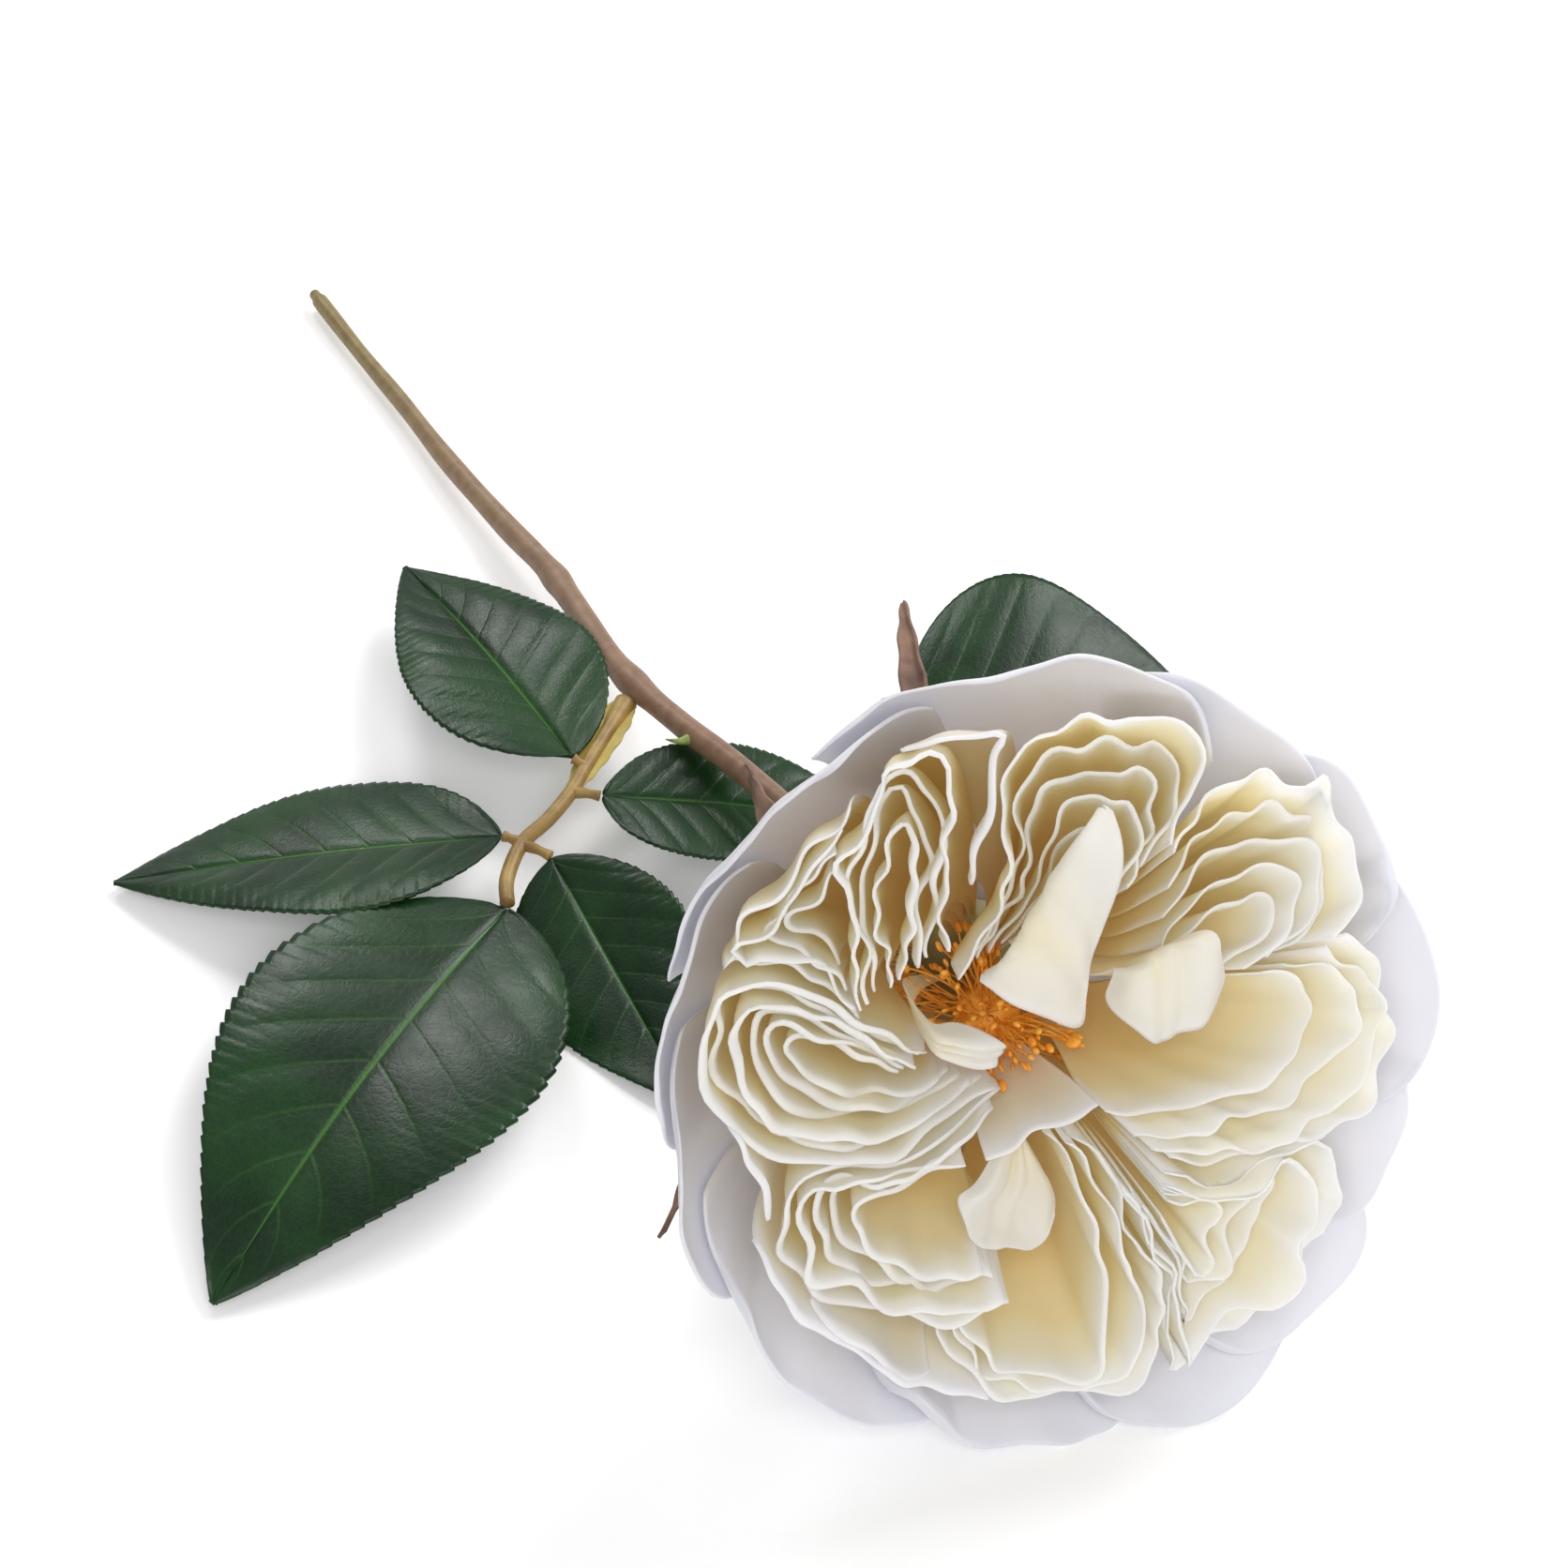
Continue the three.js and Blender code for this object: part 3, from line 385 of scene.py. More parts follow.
def nest_top(place, seed, dip):
    """The height of a nest's petal along its line. Each one stands a little lower than the one before."""
    def top(s, x, y):
        level = face_top(x, y) - 0.012 * place - dip * place * smooth((0.1 - s) / 0.5)
        uneven = (0.02 if place == 0 else 0.035) * (1 + waves(x, y, 19, seed))
        return level - uneven - 0.03 * (1 + math.sin(2.4 * seed))
    return top


petals = []
LEFT_OPEN = ("upper", "lower_left")  # nests where a flopped petal lies in the innermost place
for name, (count, places, outer, inner) in NESTS.items():
    dip = 0.04 if name == "upper" else 0
    for place in range(count - (name in LEFT_OPEN)):
        share = place / (count - 1)
        line = fold_line(np.array(outer) * (1 - share) + np.array(inner) * share)
        tone = {"left": 0.85, "lower_left": 0.85}.get(name, 0.9)
        curl = {"left": 0.6, "lower_left": 0.55, "upper_left": 0.4}.get(name, 0.3)
        petal(f"petal_{name}_{place}", line, nest_top(place, len(petals), dip),
              node=f"petal_{name}_{place}" if place in places else None,
              curl=curl, seed=len(petals), warm=tone, ruffle=0.6 if name == "left" else 1.05)
for name, numbers in SINGLES.items():
    petal(f"petal_{name}", fold_line(numbers),
          lambda s, x, y, k=len(petals): face_top(x, y) - 0.018 * (1 + waves(x, y, 12, k)) - 0.05 * s ** 4,
          node=f"petal_{name}" if name != "strip_inner" else None, seed=len(petals), curl=0.5, outward=EYE,
          across=44)


def draped_grid(hang, heights, over, across=60, up=60):
    line = fold_line(hang)
    rows = []
    for t in heights:
        at = np.linspace(-1, 1, across + 1) * (0.3 + 0.7 * smooth(t / 0.6))
        x, y = (np.interp(at, np.linspace(-1, 1, len(line)), line[:, k]) for k in (0, 1))
        rows.append(bloom(*lifted(x, y, np.full(x.shape, t))))
    for numbers in over:
        p = np.array(numbers, float).reshape(-1, 3) * FACE_RADIUS / 100
        rows.append(spline(bloom(p[:, 0], p[:, 1], p[:, 2]), across + 1))
    fine = np.linspace(0, 1, 4 * up + 1)
    columns = [spline(np.array([row[j] for row in rows]), 4 * up + 1) for j in range(across + 1)]
    ends = 1 - 0.03 * (1 + waves(np.arange(across + 1), np.zeros(across + 1), 34, 5))
    ends = ends * (1 - 0.14 * np.abs(np.linspace(-1, 1, across + 1)) ** 3)
    return np.stack([np.stack([np.interp(np.linspace(0, end, up + 1), fine, c[:, k]) for k in range(3)], -1)
                     for c, end in zip(columns, ends)])


DRAPED_LIFT = 0.8
for name, (hang, heights, over) in DRAPED.items():
    grid = draped_grid(hang, heights, over)
    depth = (grid - CENTRE) @ AXIS
    w = np.broadcast_to(np.linspace(0, 1, grid.shape[1])[None, :], grid.shape[:2])
    s = np.broadcast_to(np.linspace(0, 1, grid.shape[0])[:, None], grid.shape[:2])
    ripple = 0.6 * waves(14 * s, 5 * w, 9, len(petals)) + 0.5 * waves(11 * s, 18 * w, 9, 3)
    ripple = smooth((w - 0.4) / 0.6) * ripple
    corners = smooth((np.abs(2 * s - 1) - 0.45) / 0.55) ** 2 * smooth(w / 0.5)
    fall = 2.2 * smooth((w - 0.72) / 0.28) ** 2 + 2.0 * corners
    creases = bell((s - 0.36 - 0.1 * w) / 0.07) + 0.7 * bell((s - 0.68 + 0.08 * w) / 0.06)
    fold = 0.9 * smooth((w - 0.3) / 0.4) * creases
    grid = grid + AXIS * (ripple - fall - fold + DRAPED_LIFT)[..., None]
    edge = np.maximum(smooth((w - 0.93) / 0.07), smooth(1 - np.minimum(s, 1 - s) / 0.05) * (w > 0.5))
    # The lower part and the creases of a draped petal get a deeper colour. This is partly its yellow base and
    # partly painted shade in the creases.
    values = {"depth_tint_and_shade": 0.2 * (1 - smooth((w - 0.35) / 0.6)) + 0.02 + 0.03 * fold,
              "rim": edge * 0.7, "warm": np.full(w.shape, 0.75)}
    thickness = PETAL_BASE + (PETAL_RIM - PETAL_BASE) * w
    obj = sheet(f"petal_{name}", grid, thickness, values, np.stack([s * 2, w], -1))
    petals.append((obj, f"petal_{name}", "petal"))
print(len(petals), "petals in the face of the bloom")

# %% [markdown]
# ## Guard petals
# The guards are the first petals that opened: broad, smooth and firm, lapped round the
# bloom like slates on a cone. Each starts inside its neighbour and ends outside the next.
# They use the same curtain, with hardly any wave and a thin edge that falls back.

# %% Guard petals round the outside
GUARDS = [(97, 33), (140, 27), (170, 23), (195, 22), (229, 29), (266, 27),
          (296, 21), (317, 21), (341, 20), (9, 23), (33, 20), (60, 24)]
for i, (bearing, half) in enumerate(GUARDS):
    s = np.linspace(-1, 1, LINE_POINTS)
    angle = np.radians(bearing + half * s)
    rho = GUARD_RADIUS + 1.5 * s
    line = np.stack([rho * np.cos(angle), rho * np.sin(angle)], -1)
    petal(f"guard_petal_{i + 1:02d}", line,
          lambda s, x, y, k=i: 1 - 0.03 * (k % 3) - 0.2 * np.abs(s) ** 3 - 0.012 * (1 + waves(x, y, 21, k)),
          node=f"guard_petal_{i + 1:02d}", narrow=0.4, curl=0.25, seed=i, slot="guard_petal", warm=0.05,
          ruffle=0.12, outward=(0, 0))

# %% [markdown]
# ## Rods
# The hip, the stem and the stalks are round rods whose thickness changes on the way. The
# path is a smooth curve through the given points. Each ring of vertices stands square
# to the path and is carried on from the ring before it, so the rod doesn't twist.

# %% Rods along a path
def rod_mesh(points, radius, rings, sides):
    path = spline(points, rings)
    tangent = unit(np.gradient(path, axis=0))
    side = unit(np.cross(tangent[0], (0.3, 0.2, 1)))
    verts = []
    around = np.linspace(0, 2 * np.pi, sides, endpoint=False)
    for k in range(rings):
        side = unit(side - tangent[k] * side.dot(tangent[k]))
        other = np.cross(tangent[k], side)
        u = k / (rings - 1)
        r = np.broadcast_to(radius(u, around), around.shape)[:, None]
        verts.append(path[k] + r * (np.cos(around)[:, None] * side + np.sin(around)[:, None] * other))
    verts = np.concatenate(verts + [path[:1], path[-1:]])
    faces = []
    for k in range(rings - 1):
        for j in range(sides):
            a, b = k * sides + j, k * sides + (j + 1) % sides
            faces.append((a, b, b + sides, a + sides))
    start, end = len(verts) - 2, len(verts) - 1
    for j in range(sides):
        faces.append((start, (j + 1) % sides, j))
        faces.append((end, end - 1 - sides + j, end - 1 - sides + (j + 1) % sides))
    u = np.repeat(np.linspace(0, 1, rings), sides)
    return verts, faces, np.concatenate([u, [0, 1]])


def rod(name, points, radius, rings=60, sides=24):
    verts, faces, u = rod_mesh(points, radius, rings, sides)
    return new_object(name, placed(verts), faces, {"along": u})


HIP_LENGTH, HIP_RADIUS, HIP_NECK = 14, 6.2, 2.9
STEM_RADIUS, STEM_TIP_RADIUS, JOINT_GAP = 2.0, 1.35, 0.35
hip_base = -BLOOM_DEPTH - HIP_LENGTH
cup = GUARD_RADIUS * 0.25


def hip_radius(u, around):
    if u < 0.1:
        r = cup - 6 * u
    elif u < 0.35:
        r = cup - 0.6 + (HIP_RADIUS - cup + 0.6) * smooth((u - 0.1) / 0.25)
    else:
        r = HIP_RADIUS + (HIP_NECK - HIP_RADIUS) * smooth((u - 0.55) / 0.45)
    return r * (1 + 0.03 * np.cos(5 * around))


hip = rod("hip", [bloom(0, 0, -BLOOM_DEPTH + 0.4), bloom(0, 0, -BLOOM_DEPTH - 7), bloom(0, 0, hip_base)],
          hip_radius, 40, 40)
STEM_PATH = [bloom(0, 0, hip_base - JOINT_GAP), bloom(0, 0, hip_base - 7), (-27, 73, 19.6),
             (-40.8, 94.6, 15.2), (-50.6, 107.6, 12.6), (-60.2, 121.6, 10.4), (-66.9, 137, 7.6),
             (-73, 150.8, 5.6), (-80.8, 163.8, 4), (-90.9, 180.8, 2.9), (-99.3, 196.2, 2.3),
             (-107.4, 210, 2), (-116.2, 225.6, 1.9)]
# Places on the stem as shares of its length.
UPPER_NODE, PRICKLE, LEAF_NODE, BARE_NODE = 0.17, 0.351, 0.4345, 0.585


def stem_radius(u, around):
    node = bell((u - LEAF_NODE) / 0.018) + 0.9 * bell((u - BARE_NODE) / 0.014)
    taper = STEM_RADIUS + (STEM_TIP_RADIUS - STEM_RADIUS) * smooth((u - 0.6) / 0.35)
    ripple = 0.06 * np.sin(3 * around + 9 * u) + 0.05 * math.sin(60 * u)
    return (taper + 0.45 * node + ripple) * (0.72 if u > 0.992 else 1)


stem_line = spline(STEM_PATH, 401)


def stem_at(share):
    return stem_line[round(share * (len(stem_line) - 1))]


stem = rod("stem", STEM_PATH, stem_radius, 220, 28)
print("stem path is", round(float(np.sum(np.linalg.norm(np.diff(stem_line, axis=0), axis=1)))), "mm long")
THORN_PATH = ((-0.6, -0.6, 0.2), (-2.8, -1.6, 0.5), (-4.9, -1.2, 0.5))
thorn = rod("stem_thorn", [stem_at(PRICKLE) + p for p in THORN_PATH],
            lambda u, around: 1.25 - 1.15 * u ** 0.7 + 0.5 * math.exp(-8 * u), 20, 16)

# %% [markdown]
# ## Sepals
# Behind the bloom five long sepals bend back from the top of the hip. They are small leaf
# blades, so they are sheets too, folded lightly along the middle. Two of them carry the
# thread-like side lobes that rose sepals often have.

# %% Sepals
SEPALS = [(100, (-16.5, 100.5, 46)), (205, (-52, -5, 21)), (152, (-40.5, 82, 29)), (18, (38, 66, 40)),
          (290, (18, 66, 14))]
sepals = []
for i, (bearing, tip) in enumerate(SEPALS):
    x, y = math.cos(math.radians(bearing)), math.sin(math.radians(bearing))
    out = ACROSS * x + UPWARD * y
    foot = bloom(x * (cup + 1.6), y * (cup + 1.6), -BLOOM_DEPTH - 1.5)
    bend = (foot + tip) / 2 + out * (9.5 if i == 1 else 5) - AXIS * 2
    path = spline([foot, bend, tip], 61)
    tangent = unit(np.gradient(path, axis=0))
    u = np.linspace(0, 1, 61)[:, None]
    v = np.linspace(-1, 1, 15)[None, :]
    lobes = 2.6 * (bell((u - 0.42) / 0.012) + bell((u - 0.6) / 0.011)) * (i in (1, 3))
    width = 3.3 * (1 - u) ** 0.7 + 0.3 + lobes + 0.15 * np.sin(40 * u)
    side = unit(np.cross(tangent, out))
    fold = -0.3 * width * (1 - np.abs(v) ** 1.5) + 0.5 * waves(20 * u, 3 * v, 8, i)
    grid = path[:, None] + side[:, None] * (v * width)[..., None] + out * fold[..., None]
    uv = np.stack(np.broadcast_arrays(u, v / 2 + 0.5), -1)
    sepals.append(sheet(f"sepal_{i + 1}", grid, 0.55 + 0.3 * (1 - np.abs(v)) * (1 - u), None, uv))

# %% [markdown]
# ## Leaf stalks
# A rose leaf is one stalk with several leaflets on short twigs. The stalk starts at the
# node of the stem, where it is thicker, and a pair of narrow wings, the stipules, runs
# along its foot. A second, short stalk higher up carries the leaf behind the bloom.

# %% Leaf stalks
STALK_RADIUS, TWIG_RADIUS, UPPER_STALK_RADIUS, STIPULE_THICKNESS = 1.15, 0.85, 1.03, 0.35
node_at = stem_at(LEAF_NODE)
FORK = {"first": (-9.2, -23.6, -1.2), "second": (-16.6, -34, -2.2), "side": (-7, -18.6, -0.8)}
ENDS = {"terminal": (-18.2, -47.4, -2.4), "left": (-19.4, -32.6, -1.9), "upper": (-8.9, -17.6, 0.3),
        "upper_right": (-4.6, -24.4, -1.2), "lower_right": (-12, -36.6, -2.2)}
ends = {key: node_at + value for key, value in ENDS.items()}
ends["upper_leaf"] = np.array((-16.0, 109, 17))
stalk_path = [node_at + p for p in ((-0.9, -4.25, -0.4), (-3.9, -11.5, -0.3), (-7.2, -19, -0.8),
                                    FORK["first"], (-12.6, -29.2, -1.6), FORK["second"],
                                    (-18.6, -41.2, -2.4), (-18.4, -46.6, -2.4))]
stalks = [rod("leaf_stalk", stalk_path,
              lambda u, a: STALK_RADIUS * (1 + 0.55 * math.exp(-(u / 0.1) ** 2)) * (1 + 0.05 * np.cos(2 * a)),
              90, 18)]
FORK_OF = {"left": "second", "upper": "side", "upper_right": "first", "lower_right": "second"}
for key, fork in FORK_OF.items():
    start = node_at + FORK[fork]
    stalks.append(rod(f"leaf_twig_{key}", [start, (start + ends[key]) / 2 + (0, 0, 0.2), ends[key]],
                      lambda u, a: TWIG_RADIUS + 0.12 * math.sin(7 * u), 12, 14))
beside = unit(np.cross(stem_at(UPPER_NODE + 0.01) - stem_at(UPPER_NODE - 0.01), (0, 0, 1)))
beside = beside if beside[0] > 0 else -beside
joint = stem_at(UPPER_NODE) + (STEM_RADIUS + 0.1) * beside
upper_stalk = rod("upper_leaf_stalk",
                  [joint, joint + 2.2 * beside + (0, 1.2, 0), (-20, 88, 18.6), (-19.8, 105.5, 17.3),
                   ends["upper_leaf"]],
                  lambda u, a: UPPER_STALK_RADIUS * (1 + 0.3 * math.exp(-(u / 0.1) ** 2)), 40, 16)
wings = []
for sign in (-1, 1):
    u = np.linspace(0, 1, 40)[:, None]
    v = np.linspace(0, 1, 8)[None, :]
    path = spline(stalk_path[:4], 40)
    side = unit(np.cross(np.gradient(path, axis=0), (0, 0, 1)))
    reach = sign * (0.8 + v * 2.3 * np.sin(np.pi * u ** 0.7) ** 0.7 * (1 - 0.3 * u) + 0.12 * np.sin(34 * u))
    wave = np.array((0, 0, 1)) * (0.35 * v * np.sin(6 * u))[..., None]
    grid = path[:, None] + side[:, None] * reach[..., None] + wave
    wings.append(sheet(f"stipule_{'left' if sign < 0 else 'right'}", grid, STIPULE_THICKNESS))

# %% [markdown]
# ## Leaflets
# A leaflet is a pointed oval, folded a little along the midrib, with a saw-toothed edge and
# a surface that puffs up between its side veins. The grid makes the outline, the teeth and
# the puffs as real shape; the fine net of veins is left to the material, which reads the
# position along and across the blade from the UV map.

# %% Leaflets
LEAFLETS = {
    "terminal": ((-40.6, -72.8, -7.0), 54, 5, 0), "left": ((-60.6, -2.6, -7.6), 38, 1, 12),
    "upper": ((-28.6, 47.4, -3.4), 33, 2, 0), "upper_right": ((44, -2, -4), 28, 1, 0),
    "lower_right": ((22, -45, -7), 30, -2, 14), "upper_leaf": ((48, 4, -8), 50, 3, 8),
}
VEINS, TEETH = 9, 34
LEAFLET_THICKNESS, LEAFLET_GAP = 0.5, 0.56
leaflets = []
for k, (key, (span, width, arch, roll)) in enumerate(LEAFLETS.items()):
    span = np.array(span)
    length = unit(span)
    side = unit(np.array((span[1], -span[0], 0)))
    roll = math.radians(roll)
    side = side * math.cos(roll) + np.cross(length, side) * math.sin(roll)
    up = unit(np.cross(side, span))
    u = np.linspace(0, 1, 200)[:, None]
    v = np.linspace(-1, 1, 49)[None, :]
    oval = np.sin(np.pi * u ** 0.78) ** 0.8 * (1 - 0.25 * u * u)
    tooth = (u * TEETH + 0.35 * np.sin(9 * u + k)) % 1
    bite = 0.008 if key == "upper_leaf" else 0.034
    breadth = np.maximum(0.5, width / 2 * oval * (0.99 - bite + bite * (1 - tooth) ** 0.7))
    puff = np.abs(np.sin(np.pi * VEINS * (u - 0.2 * np.abs(v) ** 0.9)))
    height = 0.18 * breadth * np.abs(v) ** 1.3 * (1 - 0.75 * np.abs(v))
    height = height + 0.35 * (puff ** 0.6 - 0.6) * oval * np.sqrt(np.abs(v)) * (1 - v ** 4)
    height = height + 0.5 * waves(u * 60, v * 22, 31, k) * np.abs(v) ** 2 - 0.35 * bell(v / 0.05)
    start = ends[key] + length * LEAFLET_GAP
    grid = (start + span * u + up * arch * np.sin(np.pi * u))[:, None, :]
    grid = grid + side * (v * breadth)[..., None] + up * height[..., None]
    uv = np.stack(np.broadcast_arrays(u, v / 2 + 0.5), -1)
    leaflets.append(sheet(f"leaflet_{key}", grid, LEAFLET_THICKNESS, None, uv))
print(len(leaflets), "leaflets, lowest point in mm:",
      round(1000 * min(min(p.co.z for p in o.data.vertices) for o in leaflets), 2))

# %% [markdown]
# ## Stamens
# In the eye of the bloom stands a tuft of stamens: a thin filament each with a swollen
# anther on top. There are many of them and all alike, which is what Geometry Nodes is for.
# The tree scatters points over a small cushion, stands one stamen on each point, tips and
# scales it at random with a fixed seed, and turns the lot into real mesh.

# %% A node tree that plants stamens
def socket(tree, name, kind, value, output=False):
    s = tree.interface.new_socket(name=name, in_out="OUTPUT" if output else "INPUT", socket_type=kind)
    if value is not None:
        s.default_value = value
    return s


def add(tree, kind, at=(0, 0), **settings):
    node = tree.nodes.new(kind)
    node.location = at
    for key, value in settings.items():
        if key.startswith("in_"):
            node.inputs[int(key[3:])].default_value = value
        else:
            setattr(node, key, value)
    return node


def preset(node, **values):
    """Sets a node's sockets by name, with _ for a space."""
    for key, value in values.items():
        node.inputs[key.replace("_", " ")].default_value = value
    return node


def grow(base, tree, settings):
    """Runs a tree on an object and keeps the outcome as a plain mesh."""
    modifier = base.modifiers.new("grow", "NODES")
    modifier.node_group = tree
    ids = {s.name: s.identifier for s in tree.interface.items_tree if s.in_out == "INPUT"}
    for key, value in settings.items():
        modifier[ids[key]] = value
    bpy.context.view_layer.update()
    done = bpy.data.meshes.new_from_object(base.evaluated_get(bpy.context.evaluated_depsgraph_get()))
    base.modifiers.remove(modifier)
    old = base.data
    base.data = done
    bpy.data.meshes.remove(old)
    return base


stamen_tree = bpy.data.node_groups.new("plant_stamens", "GeometryNodeTree")
for key, kind, value in (("Geometry", "Geometry", None), ("Count per m2", "Float", 1e6),
                         ("Length", "Float", 0.006), ("Filament radius", "Float", 0.00012),
                         ("Anther radius", "Float", 0.0005), ("Seed", "Int", 1),
                         ("Material", "Material", None)):
    socket(stamen_tree, key, "NodeSocket" + kind, value)
socket(stamen_tree, "Geometry", "NodeSocketGeometry", None, output=True)
ins = add(stamen_tree, "NodeGroupInput")
out = add(stamen_tree, "NodeGroupOutput", (1400, 0))
link = stamen_tree.links.new
scatter = add(stamen_tree, "GeometryNodeDistributePointsOnFaces", (200, 200))
link(ins.outputs["Geometry"], scatter.inputs["Mesh"])
link(ins.outputs["Count per m2"], scatter.inputs["Density"])
link(ins.outputs["Seed"], scatter.inputs["Seed"])
arc = preset(add(stamen_tree, "GeometryNodeCurveQuadraticBezier", (200, -100)), Resolution=6, Start=(0, 0, 0))
top_at = add(stamen_tree, "ShaderNodeCombineXYZ", (0, -300))
mid_at = add(stamen_tree, "ShaderNodeCombineXYZ", (0, -450))
tilt = add(stamen_tree, "ShaderNodeMath", (-150, -300), operation="MULTIPLY", in_1=0.22)
half_up = add(stamen_tree, "ShaderNodeMath", (-150, -450), operation="MULTIPLY", in_1=0.55)
link(ins.outputs["Length"], tilt.inputs[0])
link(ins.outputs["Length"], half_up.inputs[0])
link(tilt.outputs[0], top_at.inputs[0])
link(ins.outputs["Length"], top_at.inputs[2])
link(half_up.outputs[0], mid_at.inputs[2])
link(mid_at.outputs[0], arc.inputs["Middle"])
link(top_at.outputs[0], arc.inputs["End"])
ring = preset(add(stamen_tree, "GeometryNodeCurvePrimitiveCircle", (200, -300)), Resolution=5)
link(ins.outputs["Filament radius"], ring.inputs["Radius"])
thread = preset(add(stamen_tree, "GeometryNodeCurveToMesh", (400, -100)), Fill_Caps=True)
link(arc.outputs[0], thread.inputs["Curve"])
link(ring.outputs[0], thread.inputs["Profile Curve"])
ball = preset(add(stamen_tree, "GeometryNodeMeshIcoSphere", (200, -500)), Subdivisions=2)
link(ins.outputs["Anther radius"], ball.inputs["Radius"])
anther = preset(add(stamen_tree, "GeometryNodeTransform", (400, -400)), Scale=(1, 0.65, 1.6))
link(ball.outputs[0], anther.inputs["Geometry"])
link(top_at.outputs[0], anther.inputs["Translation"])
whole = add(stamen_tree, "GeometryNodeJoinGeometry", (600, -200))
link(thread.outputs[0], whole.inputs[0])
link(anther.outputs[0], whole.inputs[0])
turn_by = add(stamen_tree, "FunctionNodeRandomValue", (400, 300), data_type="FLOAT_VECTOR")
turn_by.inputs[0].default_value = (-0.5, -0.5, 0)
turn_by.inputs[1].default_value = (0.5, 0.5, 6.28)
size_by = add(stamen_tree, "FunctionNodeRandomValue", (400, 500), data_type="FLOAT")
size_by.inputs[2].default_value = 0.6
size_by.inputs[3].default_value = 1.15
link(ins.outputs["Seed"], turn_by.inputs["Seed"])
link(ins.outputs["Seed"], size_by.inputs["Seed"])
plant = add(stamen_tree, "GeometryNodeInstanceOnPoints", (800, 0))
link(scatter.outputs["Points"], plant.inputs["Points"])
link(whole.outputs[0], plant.inputs["Instance"])
link(scatter.outputs["Rotation"], plant.inputs["Rotation"])
link(size_by.outputs[1], plant.inputs["Scale"])
spin = add(stamen_tree, "GeometryNodeRotateInstances", (950, 0))
link(plant.outputs[0], spin.inputs["Instances"])
link(turn_by.outputs[0], spin.inputs["Rotation"])
both = add(stamen_tree, "GeometryNodeJoinGeometry", (1050, 0))
link(spin.outputs[0], both.inputs[0])
link(ins.outputs["Geometry"], both.inputs[0])
real = add(stamen_tree, "GeometryNodeRealizeInstances", (1150, 0))
link(both.outputs[0], real.inputs[0])
coat = add(stamen_tree, "GeometryNodeSetMaterial", (1280, 0))
link(real.outputs[0], coat.inputs["Geometry"])
link(ins.outputs["Material"], coat.inputs["Material"])
link(coat.outputs[0], out.inputs[0])

# %% [markdown]
# ## Materials
# All petals share one node group. It turns three numbers, how deep a spot lies, how near
# the rim it is and how warm the petal is, into a colour from chalk white through cream to
# yellow. The yellow is partly the petal's own colour at its base and partly painted shade and
# glow, darker and warmer deep in the folds. The group also makes the faint fan of fibres that
# gives a petal its silky skin. The Principled shader stays outside the group. A Translucent
# shader beside it lets light through, because a petal glows when the sun is behind it, and a
# faint emission is a painted glow that stands for the light thrown to and fro between the folds.

# %% Node groups for petals, leaves and bark
def group(name, inputs, outputs):
    tree = bpy.data.node_groups.new(name, "ShaderNodeTree")
    for key, value in inputs.items():
        socket(tree, key, "NodeSocketFloat", value)
    for key, kind in outputs.items():
        socket(tree, key, kind, None, output=True)
    return tree, add(tree, "NodeGroupInput", (-900, 0)), add(tree, "NodeGroupOutput", (900, 0))


def ramp(tree, value, stops, at=(0, 0)):
    node = add(tree, "ShaderNodeValToRGB", at)
    node.color_ramp.interpolation = "EASE"
    while len(node.color_ramp.elements) < len(stops):
        node.color_ramp.elements.new(0.5)
    for element, (position, colour) in zip(node.color_ramp.elements, stops):
        element.position = position
        element.color = (*colour, 1)
    tree.links.new(value, node.inputs[0])
    return node.outputs[0]


def calc(tree, operation, a, b=None, clamp=False):
    node = add(tree, "ShaderNodeMath", operation=operation, use_clamp=clamp)
    for k, v in enumerate((a, b)):
        if v is None:
            continue
        if isinstance(v, (int, float)):
            node.inputs[k].default_value = v
        else:
            tree.links.new(v, node.inputs[k])
    return node.outputs[0]


def times(tree, a, b):
    return calc(tree, "MULTIPLY", a, b)


def minus(tree, a, b, clamp=False):
    return calc(tree, "SUBTRACT", a, b, clamp)


def plus(tree, a, b, clamp=False):
    return calc(tree, "ADD", a, b, clamp)


def mixed(tree, share, a, b):
    node = add(tree, "ShaderNodeMix", data_type="RGBA")
    for k, v in ((0, share), (6, a), (7, b)):
        if hasattr(v, "links"):
            tree.links.new(v, node.inputs[k])
        elif k == 0:
            node.inputs[k].default_value = v
        else:
            node.inputs[k].default_value = (*v, 1)
    return node.outputs[2]


def noise(tree, scale, detail, vector=None):
    node = preset(add(tree, "ShaderNodeTexNoise"), Scale=scale, Detail=detail, Roughness=0.55)
    if vector is None:
        vector = add(tree, "ShaderNodeTexCoord").outputs["Object"]
    tree.links.new(vector, node.inputs["Vector"])
    return node.outputs["Fac"]


def stretched(tree, u_scale, v_scale):
    """The UV map, stretched so that a pattern runs along the sheet."""
    node = preset(add(tree, "ShaderNodeMapping"), Scale=(u_scale, v_scale, 1))
    tree.links.new(add(tree, "ShaderNodeTexCoord").outputs["UV"], node.inputs["Vector"])
    return node.outputs["Vector"]


petal_group, g_in, g_out = group("petal_skin", {"Depth_tint_and_shade": 0.0, "Rim": 0.0, "Warm": 0.5},
                                 {"Color": "NodeSocketColor", "Height": "NodeSocketFloat"})
patch = noise(petal_group, 60, 3)
depth_tint_and_shade = plus(petal_group, g_in.outputs["Depth_tint_and_shade"],
             times(petal_group, minus(petal_group, patch, 0.5), 0.16))
